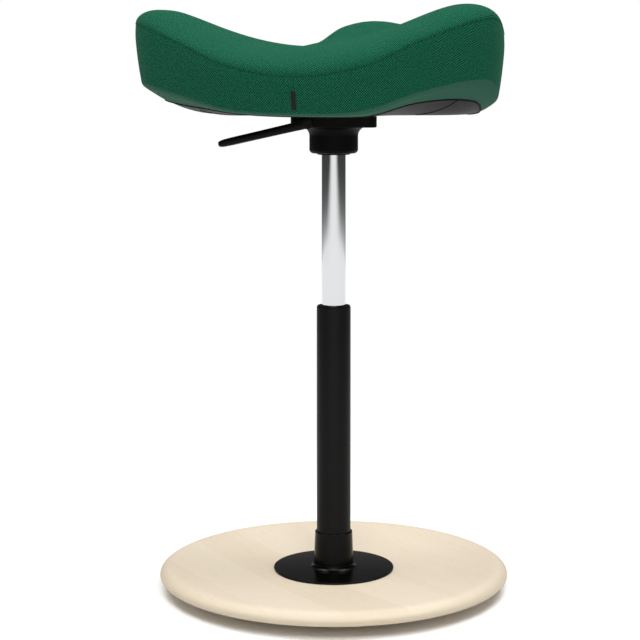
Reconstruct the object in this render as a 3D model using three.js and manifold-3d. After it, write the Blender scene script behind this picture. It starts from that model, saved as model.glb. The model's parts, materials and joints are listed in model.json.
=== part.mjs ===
// Perch stool: dished wooden base, flanged column with a gas lift, release lever and a three-lobed saddle seat.
// Lengths are millimetres, +Z is up, the floor is z = 0 and the column axis is x = y = 0.
import * as THREE from "three";
import { mergeGeometries, mergeVertices } from "three/addons/utils/BufferGeometryUtils.js";
import Module from "manifold-3d";

const wasm = await Module();
wasm.setup();

// Sizes, in millimetres.

// Gaps that are kept between neighbouring pieces.
const GAP = { slide: 0.3, press: 0.2, skin: 0.25, thread: 0.2, hole: 0.5, fold: 2 };

// Facets around round pieces.
const FACETS = { disc: 40, flange: 32, tube: 24, bore: 16, small: 12, tiny: 8, hex: 6, seat: 36, corner: 4 };

// Steps in a rounded edge.
const ROUND = { least: 2, few: 3, many: 4 };

// Rubber rocker pad, the lowest piece. It rests on its flat middle and curves up to its rim.
const PAD = { thickness: 6.8, radius: 120, flatRadius: 75, rimRise: 4.6 };

// Moulded wooden disc, flat in the middle and dished up towards the rim.
const DISC = {
  radius: 205, thickness: 14, flatRadius: 77, dishRise: 6.7, topRoundWidth: 17, topRoundHeight: 8.5,
  lowRoundWidth: 7, lowRoundHeight: 5, boreDepth: 7, boreRadius: 10,
};
const DISH_POWER = 1.7;
const DISH_RING_SHARES = [0, 0.25, 0.5, 0.75, 1];

// Steel flange and collar in one piece.
const FLANGE = {
  radius: 70.9, thickness: 2.4, holeRadius: 11, footRadius: 23.4, topRadius: 22.05, collarHeight: 42.8,
  fillet: 5.5, rimRound: 1, edgeChamfer: 0.5,
};
const STUD = { count: 4, circle: 52, radius: 4, turnDegrees: 45, shortfall: 0.4 };
const WASHER = { radius: 8.8, thickness: 1.6 };
const NUT = { cornerRadius: 7.5, height: 5 };
const PAD_SCREW = {
  count: 3, circle: 61, headRadius: 4.4, headHeight: 2.5, recess: 1.1, shankRadius: 2, length: 16, turnDegrees: 0,
};

// Outer tube of the lift and its guide sleeve.
const OUTER = { radius: 20, wall: 2, length: 309.6, skirt: 3.8, webThickness: 2.5, webHoleRadius: 5.4 };
const SLEEVE = { wall: 3.2, length: 120, rimRadius: 19.4, rimHeight: 1.8, rimRound: 0.6 };

// Thrust bearing, buffer, rod and piston.
const RACE = {
  innerRadius: 6, outerRadius: 15.5, thickness: 1.5, trackRadius: 10.8, ballRadius: 1.6, ballCount: 8,
  ballPlay: 0.1, cageThickness: 1,
};
const BUFFER = { radius: 13, height: 12, waist: 1.5, chamfer: 1 };
const ROD = { radius: 5, tailLength: 3, grooveDepth: 0.8, grooveHeight: 1.4, grooveDrop: 0.3, riseLeft: 31.5,
  studRadius: 4 };
const CLIP = { radius: 8, thickness: 1.1, mouth: 5 };
const PISTON = { radius: 12.3, height: 12, grooveDepth: 2, grooveHeight: 3, nutRadius: 7, nutHeight: 5 };

// Chrome pressure tube, its foot, seal, valve body and valve pin.
const TUBE = {
  radius: 14, wall: 1.4, shownLength: 177.4, overlap: 109.6, lipHole: 9, lipThickness: 1.5, taperShrink: 0.5,
};
const FOOT = { guideLength: 23.5, sealHeight: 4.5 };
const VALVE = { bodyLength: 24, pinRadius: 2.5, pinLength: 28.6, pinCapRadius: 2, pinCapHeight: 0.8 };

// Housing under the seat: lip, round boss, flare and rounded plate, with the barrel of the lever shaft.
const HUB = {
  lipRadius: 19.2, lipHeight: 1.5, bossRadius: 28.5, bossFillet: 4.5, flare: 11,
  bossHeight: 31.2, plateWidth: 99, plateDepth: 90, plateThickness: 15.3, plateCorner: 10, plateEdge: 1.5,
  seatDepth: 27.5, pinHoleRadius: 3.3, floorThickness: 2, barrelRadius: 6.4, barrelBack: 20,
};
const HUB_SCREW = { halfSpanX: 42, halfSpanY: 36.5, shankRadius: 2.5, headRadius: 4.3, headHeight: 4.8, recess: 0.4,
  length: 19 };
const TEE = { barrelRadius: 4, barrelHeight: 8.2, flangeRadius: 8, flangeThickness: 1.4 };

// Release lever: shaft, press finger, cross pin, bushes and handle.
const LEVER = {
  axisX: -30, axisDrop: 10.6, shaftRadius: 3, shaftBack: 17, fingerHalfWidth: 5, fingerHubRadius: 4.6,
  armThickness: 5, noseRadius: 3.5, pinRadius: 0.9, bushWall: 1.2, bushShort: 0.6,
  rootRadius: 5.9, rootWidth: 14, faceGap: 0.8, shaftInset: 11, tipX: -131.5, tipDrop: 33.8,
  paddleHalfWidth: 12, paddleHalfThickness: 5.45, sweep: 5.6,
};
// Handle sections from the root to the tip: shares of the reach, of the half width along Y, of the half thickness
// and of the sweep towards -Y.
const HANDLE_SHARES = [
  [0, 0.458, 1, 0],
  [0.14, 0.517, 0.938, 0.071],
  [0.35, 0.65, 0.896, 0.339],
  [0.6, 0.867, 0.854, 0.75],
  [0.84, 1, 0.833, 1],
  [0.95, 0.883, 0.771, 1],
  [0.99, 0.617, 0.542, 1],
];
// Roundness of the handle's section across and upwards.
const HANDLE_ROUND_SHARES = [0.6, 0.7];

// Seat. Azimuths of its sections, and for each one the shares of the seat's reach for the outer radius and the crest
// radius, shares of its crown height for the crest, the seam and the hem, and the share of the reach at which the
// underside starts to rise.
const SEAT_AZIMUTH_DEGREES = [16, 43, 70, 86, 99, 129, 160, 188, 212, 232, 256, 280, 300, 322, 335, 347];
const SEAT_SECTION_SHARES = [
  [0.762, 0.455, 0.645, 0.435, 0.023, 0.595],
  [0.810, 0.563, 0.790, 0.645, 0.113, 0.541],
  [0.879, 0.693, 0.903, 0.790, 0.242, 0.541],
  [0.844, 0.649, 0.844, 0.726, 0.177, 0.541],
  [0.792, 0.554, 0.677, 0.532, 0.089, 0.541],
  [0.753, 0.455, 0.626, 0.403, 0.032, 0.563],
  [0.892, 0.714, 0.818, 0.645, 0.145, 0.511],
  [1.000, 0.874, 0.971, 0.839, 0.267, 0.590],
  [0.890, 0.693, 0.765, 0.653, 0.155, 0.601],
  [0.840, 0.528, 0.629, 0.452, 0.048, 0.579],
  [0.810, 0.455, 0.613, 0.355, 0.018, 0.646],
  [0.818, 0.511, 0.677, 0.444, 0.040, 0.684],
  [0.861, 0.649, 0.806, 0.677, 0.204, 0.547],
  [0.957, 0.784, 1.000, 0.863, 0.294, 0.694],
  [0.916, 0.727, 0.924, 0.734, 0.148, 0.702],
  [0.835, 0.632, 0.847, 0.669, 0.106, 0.677],
];
const SEAT = {
  reach: 231, crownHeight: 124, centreHeight: 77, hemInset: 9.5, seamInset: 1.5, foldInset: 24,
  cover: 2, panel: 3.2, shell: 10, shellInset: 14, bossRadius: 75, bossGap: 2,
};
// Side band from the hem to the seam: shares of the hem's inset, of the seam's inset and of the band's height.
const BAND_SHARES = [[1, 0, 0], [0.68, 0, 0.14], [0.33, 0, 0.45], [0.1, 0, 0.78], [0, 1, 1]];
// Share of the crest height reached at each share of the crest radius.
const DIP_SHARES = [[0, 0], [0.29, 0.07], [0.435, 0.186], [0.585, 0.395], [0.75, 0.7], [0.9, 0.95], [1, 1]];
// Rings of the shell between its boss and its edge.
const SHELL_SHARES = [0, 0.45, 0.75, 1];
// Rings of the top panel over the crown, as turns from the seam, and down into the dip, as shares of the crest radius.
const CROWN_DEGREES = [0, 25, 50, 90];
const DIP_RING_SHARES = [0.9, 0.7, 0.5, 0.27];
const TAG = { azimuth: 256.7, width: 5.2, height: 20, thickness: 1.2, rise: 3 };

const INK = {
  wood: 0xe8d6b8, black: 0x202022, steel: 0x8c9096, chrome: 0xd8dade, rubber: 0x1a1a1c, fabric: 0x1a5a3e,
  grey: 0x464448, foam: 0xd9cf9a, brass: 0xb9974e, plastic: 0x2a2a2c,
};

// Shapes.

const radians = (degrees) => (degrees * Math.PI) / 180;

// Turns every face outwards when the enclosed volume comes out negative.
function outwards(geometry) {
  const at = geometry.attributes.position;
  const index = geometry.index.array;
  const [a, b, c] = [new THREE.Vector3(), new THREE.Vector3(), new THREE.Vector3()];
  let volume = 0;
  for (let i = 0; i < index.length; i += 3) {
    a.fromBufferAttribute(at, index[i]);
    b.fromBufferAttribute(at, index[i + 1]);
    c.fromBufferAttribute(at, index[i + 2]);
    volume += a.dot(b.cross(c));
  }
  if (volume < 0) {
    for (let i = 0; i < index.length; i += 3) [index[i], index[i + 1]] = [index[i + 1], index[i]];
  }
  return geometry;
}

function shapeOf(vertices, faces) {
  const geometry = new THREE.BufferGeometry();
  geometry.setAttribute("position", new THREE.Float32BufferAttribute(vertices.flat(), 3));
  geometry.setIndex(faces.flat());
  return outwards(geometry);
}

// Closed body through a list of rings. A ring of one point is a pole; a looped list joins its last ring to its first.
// Quads split from the wider ring to the narrower one, so stacked skins get the same facets in either order.
function loft(rings, looped = false) {
  const vertices = [];
  const starts = rings.map((ring) => vertices.push(...ring) - ring.length);
  const faces = [];
  for (let k = 0; k < rings.length - (looped ? 0 : 1); k++) {
    const next = (k + 1) % rings.length;
    const [low, high] = [starts[k], starts[next]];
    const count = Math.max(rings[k].length, rings[next].length);
    const narrows = Math.hypot(rings[k][0][0], rings[k][0][1]) >= Math.hypot(rings[next][0][0], rings[next][0][1]);
    for (let i = 0; i < count; i++) {
      const j = (i + 1) % count;
      if (rings[k].length === 1) faces.push([low, high + i, high + j]);
      else if (rings[next].length === 1) faces.push([low + i, high, low + j]);
      else if (narrows) faces.push([low + i, high + i, high + j], [low + i, high + j, low + j]);
      else faces.push([low + i, high + i, low + j], [high + i, high + j, low + j]);
    }
  }
  return shapeOf(vertices, faces);
}

// Body of revolution about Z. The profile runs from axis to axis, or closes on itself when it never meets the axis.
function revolve(profile, facets) {
  const rings = profile.map(([r, z]) => {
    if (r === 0) return [[0, 0, z]];
    return Array.from({ length: facets }, (_, i) => {
      const angle = (2 * Math.PI * i) / facets;
      return [r * Math.cos(angle), r * Math.sin(angle), z];
    });
  });
  return loft(rings, profile[0][0] !== 0);
}

const ring = (inner, outer, low, high, facets) =>
  revolve([[inner, low], [outer, low], [outer, high], [inner, high]], facets);
const rod = (radius, low, high, facets) => revolve([[0, low], [radius, low], [radius, high], [0, high]], facets);
const moved = (geometry, x, y, z) => geometry.clone().translate(x, y, z);

// A rod along Y from one y to another, through the lever axis heights given.
function rodAlongY(radius, from, to, x, z, facets) {
  return rod(radius, from, to, facets).rotateX(-Math.PI / 2).translate(x, 0, z);
}

function box(x0, x1, y0, y1, z0, z1) {
  return new THREE.BoxGeometry(x1 - x0, y1 - y0, z1 - z0).translate((x0 + x1) / 2, (y0 + y1) / 2, (z0 + z1) / 2);
}

function welded(geometry) {
  const bare = geometry.clone();
  bare.deleteAttribute("normal");
  bare.deleteAttribute("uv");
  return mergeVertices(bare);
}

function solid(geometry) {
  const bare = welded(geometry);
  return new wasm.Manifold(new wasm.Mesh({
    numProp: 3,
    vertProperties: new Float32Array(bare.attributes.position.array),
    triVerts: new Uint32Array(bare.index.array),
  }));
}

function drawn(manifold) {
  const mesh = manifold.getMesh();
  const geometry = new THREE.BufferGeometry();
  geometry.setAttribute("position", new THREE.Float32BufferAttribute(Array.from(mesh.vertProperties), 3));
  geometry.setIndex(Array.from(mesh.triVerts));
  return geometry;
}

const cut = (body, ...tools) => drawn(tools.reduce((left, tool) => left.subtract(solid(tool)), solid(body)));
const join = (...bodies) => drawn(bodies.slice(1).reduce((all, one) => all.add(solid(one)), solid(bodies[0])));

// The same cutter at several places.
const repeated = (geometry, places) => mergeGeometries(places.map(([x, y]) => moved(welded(geometry), x, y, 0)));

function around(count, circle, turnDegrees) {
  return Array.from({ length: count }, (_, i) => {
    const angle = radians(turnDegrees) + (2 * Math.PI * i) / count;
    return [circle * Math.cos(angle), circle * Math.sin(angle)];
  });
}

const stool = new THREE.Group();
stool.name = "perch_stool";

function piece(name, geometry, colour) {
  const bare = welded(geometry);
  bare.computeVertexNormals();
  const mesh = new THREE.Mesh(bare, new THREE.MeshStandardMaterial({ color: colour }));
  mesh.name = name;
  stool.add(mesh);
}

// One numbered piece for each place.
function pieces(name, geometry, places, colour) {
  places.forEach(([x, y], i) => piece(`${name}_${i + 1}`, moved(geometry, x, y, 0), colour));
}

// Points of a quarter ellipse about a centre, from one angle to another, ends included.
function arc(centreR, centreZ, halfWidth, halfHeight, fromDegrees, toDegrees, steps) {
  return Array.from({ length: steps + 1 }, (_, i) => {
    const angle = radians(fromDegrees + ((toDegrees - fromDegrees) * i) / steps);
    return [centreR + halfWidth * Math.cos(angle), centreZ + halfHeight * Math.sin(angle)];
  });
}

// Base.

const discBottom = PAD.thickness;
const discTop = discBottom + DISC.thickness;
const dishEnd = DISC.radius - DISC.topRoundWidth;

// Height by which the dish has risen at a radius.
function dishAt(r) {
  const share = Math.max(0, (r - DISC.flatRadius) / (dishEnd - DISC.flatRadius));
  return DISC.dishRise * share ** DISH_POWER;
}

const dishRadii = DISH_RING_SHARES.map((share) => DISC.flatRadius + share * (dishEnd - DISC.flatRadius));
const lowDishEnd = DISC.radius - DISC.lowRoundWidth;
const lowRadii = [...dishRadii.slice(0, -1), dishEnd];
const rimLow = discBottom + dishAt(dishEnd);
const rimTop = discTop + dishAt(dishEnd);
const discProfile = [
  [0, discBottom],
  ...lowRadii.map((r) => [r, discBottom + dishAt(r)]),
  ...arc(lowDishEnd, rimLow + DISC.lowRoundHeight, DISC.lowRoundWidth, DISC.lowRoundHeight, -90, 0, ROUND.few),
  ...arc(dishEnd, rimTop - DISC.topRoundHeight, DISC.topRoundWidth, DISC.topRoundHeight, 0, 90, ROUND.many),
  ...dishRadii.slice(0, -1).reverse().map((r) => [r, discTop + dishAt(r)]),
  [0, discTop],
];
const studPlaces = around(STUD.count, STUD.circle, STUD.turnDegrees);
const padScrewPlaces = around(PAD_SCREW.count, PAD_SCREW.circle, PAD_SCREW.turnDegrees);
const boreTop = discBottom + DISC.boreDepth;
const studHoles = repeated(
  revolve([
    [0, 0], [DISC.boreRadius, 0], [DISC.boreRadius, boreTop], [STUD.radius + GAP.hole, boreTop],
    [STUD.radius + GAP.hole, discTop + DISC.thickness], [0, discTop + DISC.thickness],
  ], FACETS.bore),
  studPlaces,
);
const padScrewTop = PAD_SCREW.recess + PAD_SCREW.length;
const padScrewHoles = repeated(
  rod(PAD_SCREW.shankRadius + GAP.hole, 0, padScrewTop + GAP.hole, FACETS.tiny), padScrewPlaces);
piece("base_disc", cut(revolve(discProfile, FACETS.disc), studHoles, padScrewHoles), INK.wood);

// Rocker pad: flat where it rests, its upper face against the flat of the disc and just clear of the dish.
const padRadii = [PAD.flatRadius, dishRadii[1], PAD.radius];
const padLow = (r) => PAD.rimRise * (Math.max(0, r - PAD.flatRadius) / (PAD.radius - PAD.flatRadius)) ** 2;
const padTop = (r) => discBottom + dishAt(r) - GAP.skin;
const padProfile = [
  [0, 0],
  ...padRadii.map((r) => [r, padLow(r)]),
  [PAD.radius, padTop(PAD.radius)],
  [padRadii[1], padTop(padRadii[1])],
  [DISC.flatRadius, padTop(DISC.flatRadius)],
  [PAD.flatRadius, discBottom],
  [0, discBottom],
];
const padScrewHead = PAD_SCREW.recess + PAD_SCREW.headHeight;
const padPockets = repeated(
  revolve([
    [0, -PAD.thickness], [PAD_SCREW.headRadius + GAP.hole, -PAD.thickness],
    [PAD_SCREW.headRadius + GAP.hole, PAD_SCREW.recess], [PAD_SCREW.shankRadius + GAP.hole, padScrewHead],
    [PAD_SCREW.shankRadius + GAP.hole, discTop], [0, discTop],
  ], FACETS.small),
  padScrewPlaces,
);
piece("rocker_pad", cut(revolve(padProfile, FACETS.disc), padPockets), INK.rubber);
pieces("pad_screw", revolve([
  [0, PAD_SCREW.recess], [PAD_SCREW.headRadius, PAD_SCREW.recess], [PAD_SCREW.shankRadius, padScrewHead],
  [PAD_SCREW.shankRadius, padScrewTop - PAD_SCREW.shankRadius], [0, padScrewTop],
], FACETS.small), padScrewPlaces, INK.steel);

// Flange with its welded studs, and the washers and nuts that clamp the disc.
const flangeTop = discTop + FLANGE.thickness;
const collarTop = flangeTop + FLANGE.collarHeight;
const collarBore = OUTER.radius + GAP.press;
const flangeProfile = [
  [FLANGE.holeRadius, discTop], [FLANGE.radius, discTop],
  [FLANGE.radius, flangeTop - FLANGE.edgeChamfer], [FLANGE.radius - FLANGE.edgeChamfer, flangeTop],
  ...arc(
    FLANGE.footRadius + FLANGE.fillet, flangeTop + FLANGE.fillet, FLANGE.fillet, FLANGE.fillet,
    -90, -180, ROUND.few,
  ),
  ...arc(
    FLANGE.topRadius - FLANGE.rimRound, collarTop - FLANGE.rimRound, FLANGE.rimRound, FLANGE.rimRound,
    0, 90, ROUND.least,
  ),
  [collarBore, collarTop], [collarBore, flangeTop], [FLANGE.holeRadius, flangeTop],
];
const studs = studPlaces.map(([x, y]) =>
  moved(rod(STUD.radius, discBottom + STUD.shortfall, flangeTop - FLANGE.edgeChamfer, FACETS.small), x, y, 0));
piece("base_flange", join(revolve(flangeProfile, FACETS.flange), ...studs), INK.black);
const washerLow = boreTop - WASHER.thickness;
pieces("base_washer",
  ring(STUD.radius + GAP.thread, WASHER.radius, washerLow, boreTop, FACETS.small), studPlaces, INK.steel);
pieces("base_nut", cut(
  rod(NUT.cornerRadius, washerLow - NUT.height, washerLow, FACETS.hex),
  rod(STUD.radius + GAP.thread, discBottom - NUT.height, discTop, FACETS.small),
), studPlaces, INK.steel);

// Lift: the standing part.

const outerBore = OUTER.radius - OUTER.wall;
const outerTop = flangeTop + OUTER.length;
const sleeveTop = outerTop + SLEEVE.rimHeight;
const footLow = sleeveTop - TUBE.overlap;
const hubLow = sleeveTop + TUBE.shownLength;
const webLow = flangeTop + OUTER.skirt;
const webTop = webLow + OUTER.webThickness;
piece("outer_tube", revolve([
  [outerBore, flangeTop], [OUTER.radius, flangeTop], [OUTER.radius, outerTop], [outerBore, outerTop],
  [outerBore, webTop], [OUTER.webHoleRadius, webTop], [OUTER.webHoleRadius, webLow], [outerBore, webLow],
], FACETS.tube), INK.black);

const sleeveBore = TUBE.radius + GAP.slide;
const sleeveOuter = outerBore - GAP.press;
piece("guide_sleeve", revolve([
  [sleeveBore, outerTop - SLEEVE.length], [sleeveOuter, outerTop - SLEEVE.length], [sleeveOuter, outerTop],
  [SLEEVE.rimRadius, outerTop], [SLEEVE.rimRadius, sleeveTop - SLEEVE.rimRound],
  [SLEEVE.rimRadius - SLEEVE.rimRound, sleeveTop], [sleeveBore, sleeveTop],
], FACETS.tube), INK.plastic);

const ballsLow = webTop + RACE.thickness;
const ballsTop = ballsLow + 2 * (RACE.ballRadius + RACE.ballPlay);
piece("race_lower", ring(RACE.innerRadius, RACE.outerRadius, webTop, ballsLow, FACETS.bore), INK.steel);
const trackZ = (ballsLow + ballsTop) / 2;
const ball = new THREE.SphereGeometry(RACE.ballRadius, FACETS.hex, FACETS.corner).rotateX(Math.PI / 2);
piece("ball_cage", join(
  ring(RACE.innerRadius + GAP.slide, RACE.outerRadius - GAP.slide,
    trackZ - RACE.cageThickness / 2, trackZ + RACE.cageThickness / 2, FACETS.bore),
  ...around(RACE.ballCount, RACE.trackRadius, 0).map(([x, y]) => moved(ball, x, y, trackZ)),
), INK.steel);

// Lift: the turning rod.

const upperRaceTop = ballsTop + RACE.thickness;
const bufferTop = upperRaceTop + BUFFER.height;
piece("race_upper", ring(RACE.innerRadius, RACE.outerRadius, ballsTop, upperRaceTop, FACETS.bore), INK.steel);
piece("stop_buffer", revolve([
  [RACE.innerRadius, upperRaceTop], [BUFFER.radius, upperRaceTop],
  [BUFFER.radius - BUFFER.waist, (upperRaceTop + bufferTop) / 2], [BUFFER.radius, bufferTop - BUFFER.chamfer],
  [BUFFER.radius - BUFFER.chamfer, bufferTop], [RACE.innerRadius, bufferTop],
], FACETS.bore), INK.rubber);

const rodLow = webLow - ROD.tailLength;
const grooveTop = webLow - ROD.grooveDrop;
const grooveLow = grooveTop - ROD.grooveHeight;
const grooveRadius = ROD.radius - ROD.grooveDepth;
const lipTop = footLow + TUBE.lipThickness;
const guideTop = lipTop + FOOT.guideLength;
const footTop = guideTop + FOOT.sealHeight;
const rodShoulder = footTop + ROD.riseLeft;
const pistonTop = rodShoulder + PISTON.height;
const rodTop = pistonTop + PISTON.nutHeight;
piece("piston_rod", revolve([
  [0, rodLow], [ROD.radius, rodLow], [ROD.radius, grooveLow], [grooveRadius, grooveLow],
  [grooveRadius, grooveTop], [ROD.radius, grooveTop], [ROD.radius, rodShoulder],
  [ROD.studRadius, rodShoulder], [ROD.studRadius, rodTop], [0, rodTop],
], FACETS.bore), INK.steel);
const clipLow = grooveLow + (ROD.grooveHeight - CLIP.thickness) / 2;
piece("rod_clip", cut(
  ring(grooveRadius + GAP.press, CLIP.radius, clipLow, clipLow + CLIP.thickness, FACETS.bore),
  box(0, CLIP.radius * 2, -CLIP.mouth / 2, CLIP.mouth / 2, rodLow, webLow),
), INK.steel);

const pistonBore = ROD.studRadius + GAP.press;
const sealLow = rodShoulder + (PISTON.height - PISTON.grooveHeight) / 2;
const sealTop = sealLow + PISTON.grooveHeight;
const sealSeat = PISTON.radius - PISTON.grooveDepth;
piece("piston", revolve([
  [pistonBore, rodShoulder], [PISTON.radius, rodShoulder], [PISTON.radius, sealLow], [sealSeat, sealLow],
  [sealSeat, sealTop], [PISTON.radius, sealTop], [PISTON.radius, pistonTop], [pistonBore, pistonTop],
], FACETS.bore), INK.steel);
piece("piston_seal", ring(
  sealSeat + GAP.press, PISTON.radius, sealLow + GAP.press, sealTop - GAP.press, FACETS.bore), INK.rubber);
piece("piston_nut", cut(
  rod(PISTON.nutRadius, pistonTop, rodTop, FACETS.hex),
  rod(ROD.studRadius + GAP.thread, rodShoulder, rodTop + PISTON.nutHeight, FACETS.bore),
), INK.steel);

// Lift: the rising tube.

const seatPlane = hubLow + HUB.lipHeight + HUB.bossHeight + HUB.plateThickness;
const tubeTop = hubLow + HUB.seatDepth;
const tubeBore = TUBE.radius - TUBE.wall;
piece("pressure_tube", revolve([
  [TUBE.lipHole, footLow], [TUBE.radius, footLow], [TUBE.radius, hubLow],
  [TUBE.radius - TUBE.taperShrink, tubeTop], [tubeBore, tubeTop], [tubeBore, lipTop], [TUBE.lipHole, lipTop],
], FACETS.tube), INK.chrome);
const insertRadius = tubeBore - GAP.press;
piece("rod_guide", ring(ROD.radius + GAP.slide, insertRadius, lipTop, guideTop, FACETS.bore), INK.brass);
piece("rod_seal", ring(
  ROD.radius + GAP.slide, insertRadius, guideTop, footTop, FACETS.bore), INK.rubber);
piece("valve_body", ring(
  VALVE.pinRadius + GAP.slide, insertRadius, tubeTop - VALVE.bodyLength, tubeTop, FACETS.bore), INK.brass);

const leverAxisZ = seatPlane - LEVER.axisDrop;
const pinTop = leverAxisZ - LEVER.noseRadius - GAP.slide;
piece("valve_pin", revolve([
  [0, pinTop - VALVE.pinLength], [VALVE.pinRadius, pinTop - VALVE.pinLength],
  [VALVE.pinRadius, pinTop - VALVE.pinCapHeight], [VALVE.pinCapRadius, pinTop], [0, pinTop],
], FACETS.small), INK.steel);

// Housing under the seat.

const plateLow = seatPlane - HUB.plateThickness;
const plateFront = -HUB.plateDepth / 2;
const bossLow = hubLow + HUB.lipHeight;
const bossProfile = [
  [0, hubLow], [HUB.lipRadius, hubLow], [HUB.lipRadius, bossLow],
  ...arc(
    HUB.bossRadius - HUB.bossFillet, bossLow + HUB.bossFillet, HUB.bossFillet, HUB.bossFillet, -90, 0, ROUND.few,
  ),
  ...arc(HUB.bossRadius + HUB.flare, plateLow - HUB.flare, HUB.flare, HUB.flare, 180, 90, ROUND.many),
  [HUB.bossRadius + HUB.flare, seatPlane], [0, seatPlane],
];

// Rounded plate with its lower edge broken.
function roundedPlate() {
  const [halfX, halfY] = [HUB.plateWidth / 2, HUB.plateDepth / 2];
  const outline = (inset, z) => {
    const radius = HUB.plateCorner - inset;
    const corners = [[1, 1], [-1, 1], [-1, -1], [1, -1]];
    return corners.flatMap(([sx, sy], quarter) =>
      Array.from({ length: FACETS.corner + 1 }, (_, i) => {
        const angle = (Math.PI / 2) * (quarter + i / FACETS.corner);
        return [
          sx * (halfX - HUB.plateCorner) + radius * Math.cos(angle),
          sy * (halfY - HUB.plateCorner) + radius * Math.sin(angle), z,
        ];
      }));
  };
  return loft([
    [[0, 0, plateLow]], outline(HUB.plateEdge, plateLow), outline(0, plateLow + HUB.plateEdge),
    outline(0, seatPlane), [[0, 0, seatPlane]],
  ]);
}

const shaftBore = LEVER.shaftRadius + GAP.slide + LEVER.bushWall + GAP.press;
const slotHalf = LEVER.fingerHalfWidth + LEVER.bushWall;
const slotRadius = LEVER.fingerHubRadius + LEVER.bushShort;
const pocketFloor = tubeTop + HUB.floorThickness;
const armFloor = leverAxisZ - LEVER.armThickness / 2 - LEVER.faceGap;
const noseEnd = LEVER.noseRadius + LEVER.fingerHalfWidth / 2;
const above = seatPlane + HUB.plateThickness;
const boltPlaces = [[1, 1], [-1, 1], [-1, -1], [1, -1]].map(([sx, sy]) =>
  [sx * HUB_SCREW.halfSpanX, sy * HUB_SCREW.halfSpanY]);
const boltHeadTop = plateLow + HUB_SCREW.recess + HUB_SCREW.headHeight;
const boltHoles = repeated(
  revolve([
    [0, bossLow], [HUB_SCREW.headRadius + GAP.hole, bossLow], [HUB_SCREW.headRadius + GAP.hole, boltHeadTop],
    [HUB_SCREW.shankRadius + GAP.hole, boltHeadTop], [HUB_SCREW.shankRadius + GAP.hole, above], [0, above],
  ], FACETS.small),
  boltPlaces,
);
const boreLow = hubLow - HUB.lipHeight;
const tubeBoreCut = revolve([
  [0, boreLow], [TUBE.radius + GAP.press, boreLow], [TUBE.radius + GAP.press, hubLow],
  [TUBE.radius - TUBE.taperShrink + GAP.press, tubeTop], [HUB.pinHoleRadius, tubeTop],
  [HUB.pinHoleRadius, leverAxisZ], [0, leverAxisZ],
], FACETS.tube);
const barrelBack = LEVER.shaftBack + GAP.hole;
piece("hub_housing", cut(
  join(
    revolve(bossProfile, FACETS.tube), roundedPlate(),
    rodAlongY(HUB.barrelRadius, plateFront, HUB.barrelBack, LEVER.axisX, leverAxisZ, FACETS.small),
  ),
  tubeBoreCut, boltHoles,
  rodAlongY(shaftBore, plateFront - LEVER.rootWidth, barrelBack, LEVER.axisX, leverAxisZ, FACETS.small),
  rodAlongY(slotRadius, -slotHalf, slotHalf, LEVER.axisX, leverAxisZ, FACETS.small),
  box(LEVER.axisX - slotRadius, noseEnd, -slotHalf, slotHalf, leverAxisZ, above),
  box(LEVER.axisX, noseEnd, -slotHalf, slotHalf, armFloor, above),
  box(LEVER.axisX + LEVER.fingerHubRadius, noseEnd, -slotHalf, slotHalf, pocketFloor, above),
), INK.black);

pieces("hub_screw", revolve([
  [0, boltHeadTop - HUB_SCREW.headHeight], [HUB_SCREW.headRadius, boltHeadTop - HUB_SCREW.headHeight],
  [HUB_SCREW.headRadius, boltHeadTop], [HUB_SCREW.shankRadius, boltHeadTop],
  [HUB_SCREW.shankRadius, boltHeadTop + HUB_SCREW.length], [0, boltHeadTop + HUB_SCREW.length],
], FACETS.small), boltPlaces, INK.steel);

// Release lever.

const bushOuter = shaftBore - GAP.press;
const bushInner = LEVER.shaftRadius + GAP.slide;
function bush(from, to) {
  return ring(bushInner, bushOuter, from, to, FACETS.small)
    .rotateX(-Math.PI / 2).translate(LEVER.axisX, 0, leverAxisZ);
}
piece("shaft_bush_front", bush(plateFront, -slotHalf), INK.plastic);
piece("shaft_bush_back", bush(slotHalf, LEVER.shaftBack), INK.plastic);

const crossPin = rod(
  LEVER.pinRadius, leverAxisZ - LEVER.fingerHubRadius, leverAxisZ + LEVER.fingerHubRadius, FACETS.tiny);
const crossHole = moved(rod(
  LEVER.pinRadius + GAP.press, leverAxisZ - HUB.barrelRadius, leverAxisZ + HUB.barrelRadius, FACETS.tiny),
LEVER.axisX, 0, 0);
const rootFront = plateFront - LEVER.faceGap - LEVER.rootWidth;
const shaftFront = plateFront - LEVER.faceGap - LEVER.shaftInset;
piece("lever_shaft", cut(
  rodAlongY(LEVER.shaftRadius, shaftFront, LEVER.shaftBack, LEVER.axisX, leverAxisZ, FACETS.small),
  crossHole,
), INK.steel);
piece("finger_pin", moved(crossPin, LEVER.axisX, 0, 0), INK.steel);

const fingerBore = LEVER.shaftRadius + GAP.press;
piece("press_finger", cut(
  join(
    rodAlongY(LEVER.fingerHubRadius, -LEVER.fingerHalfWidth, LEVER.fingerHalfWidth, LEVER.axisX, leverAxisZ,
      FACETS.small),
    box(LEVER.axisX, 0, -LEVER.fingerHalfWidth, LEVER.fingerHalfWidth,
      leverAxisZ - LEVER.armThickness / 2, leverAxisZ + LEVER.armThickness / 2),
    rodAlongY(LEVER.noseRadius, -LEVER.fingerHalfWidth, LEVER.fingerHalfWidth, 0, leverAxisZ, FACETS.small),
  ),
  rodAlongY(fingerBore, -slotHalf, slotHalf, LEVER.axisX, leverAxisZ, FACETS.small),
  crossHole,
), INK.steel);

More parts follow.
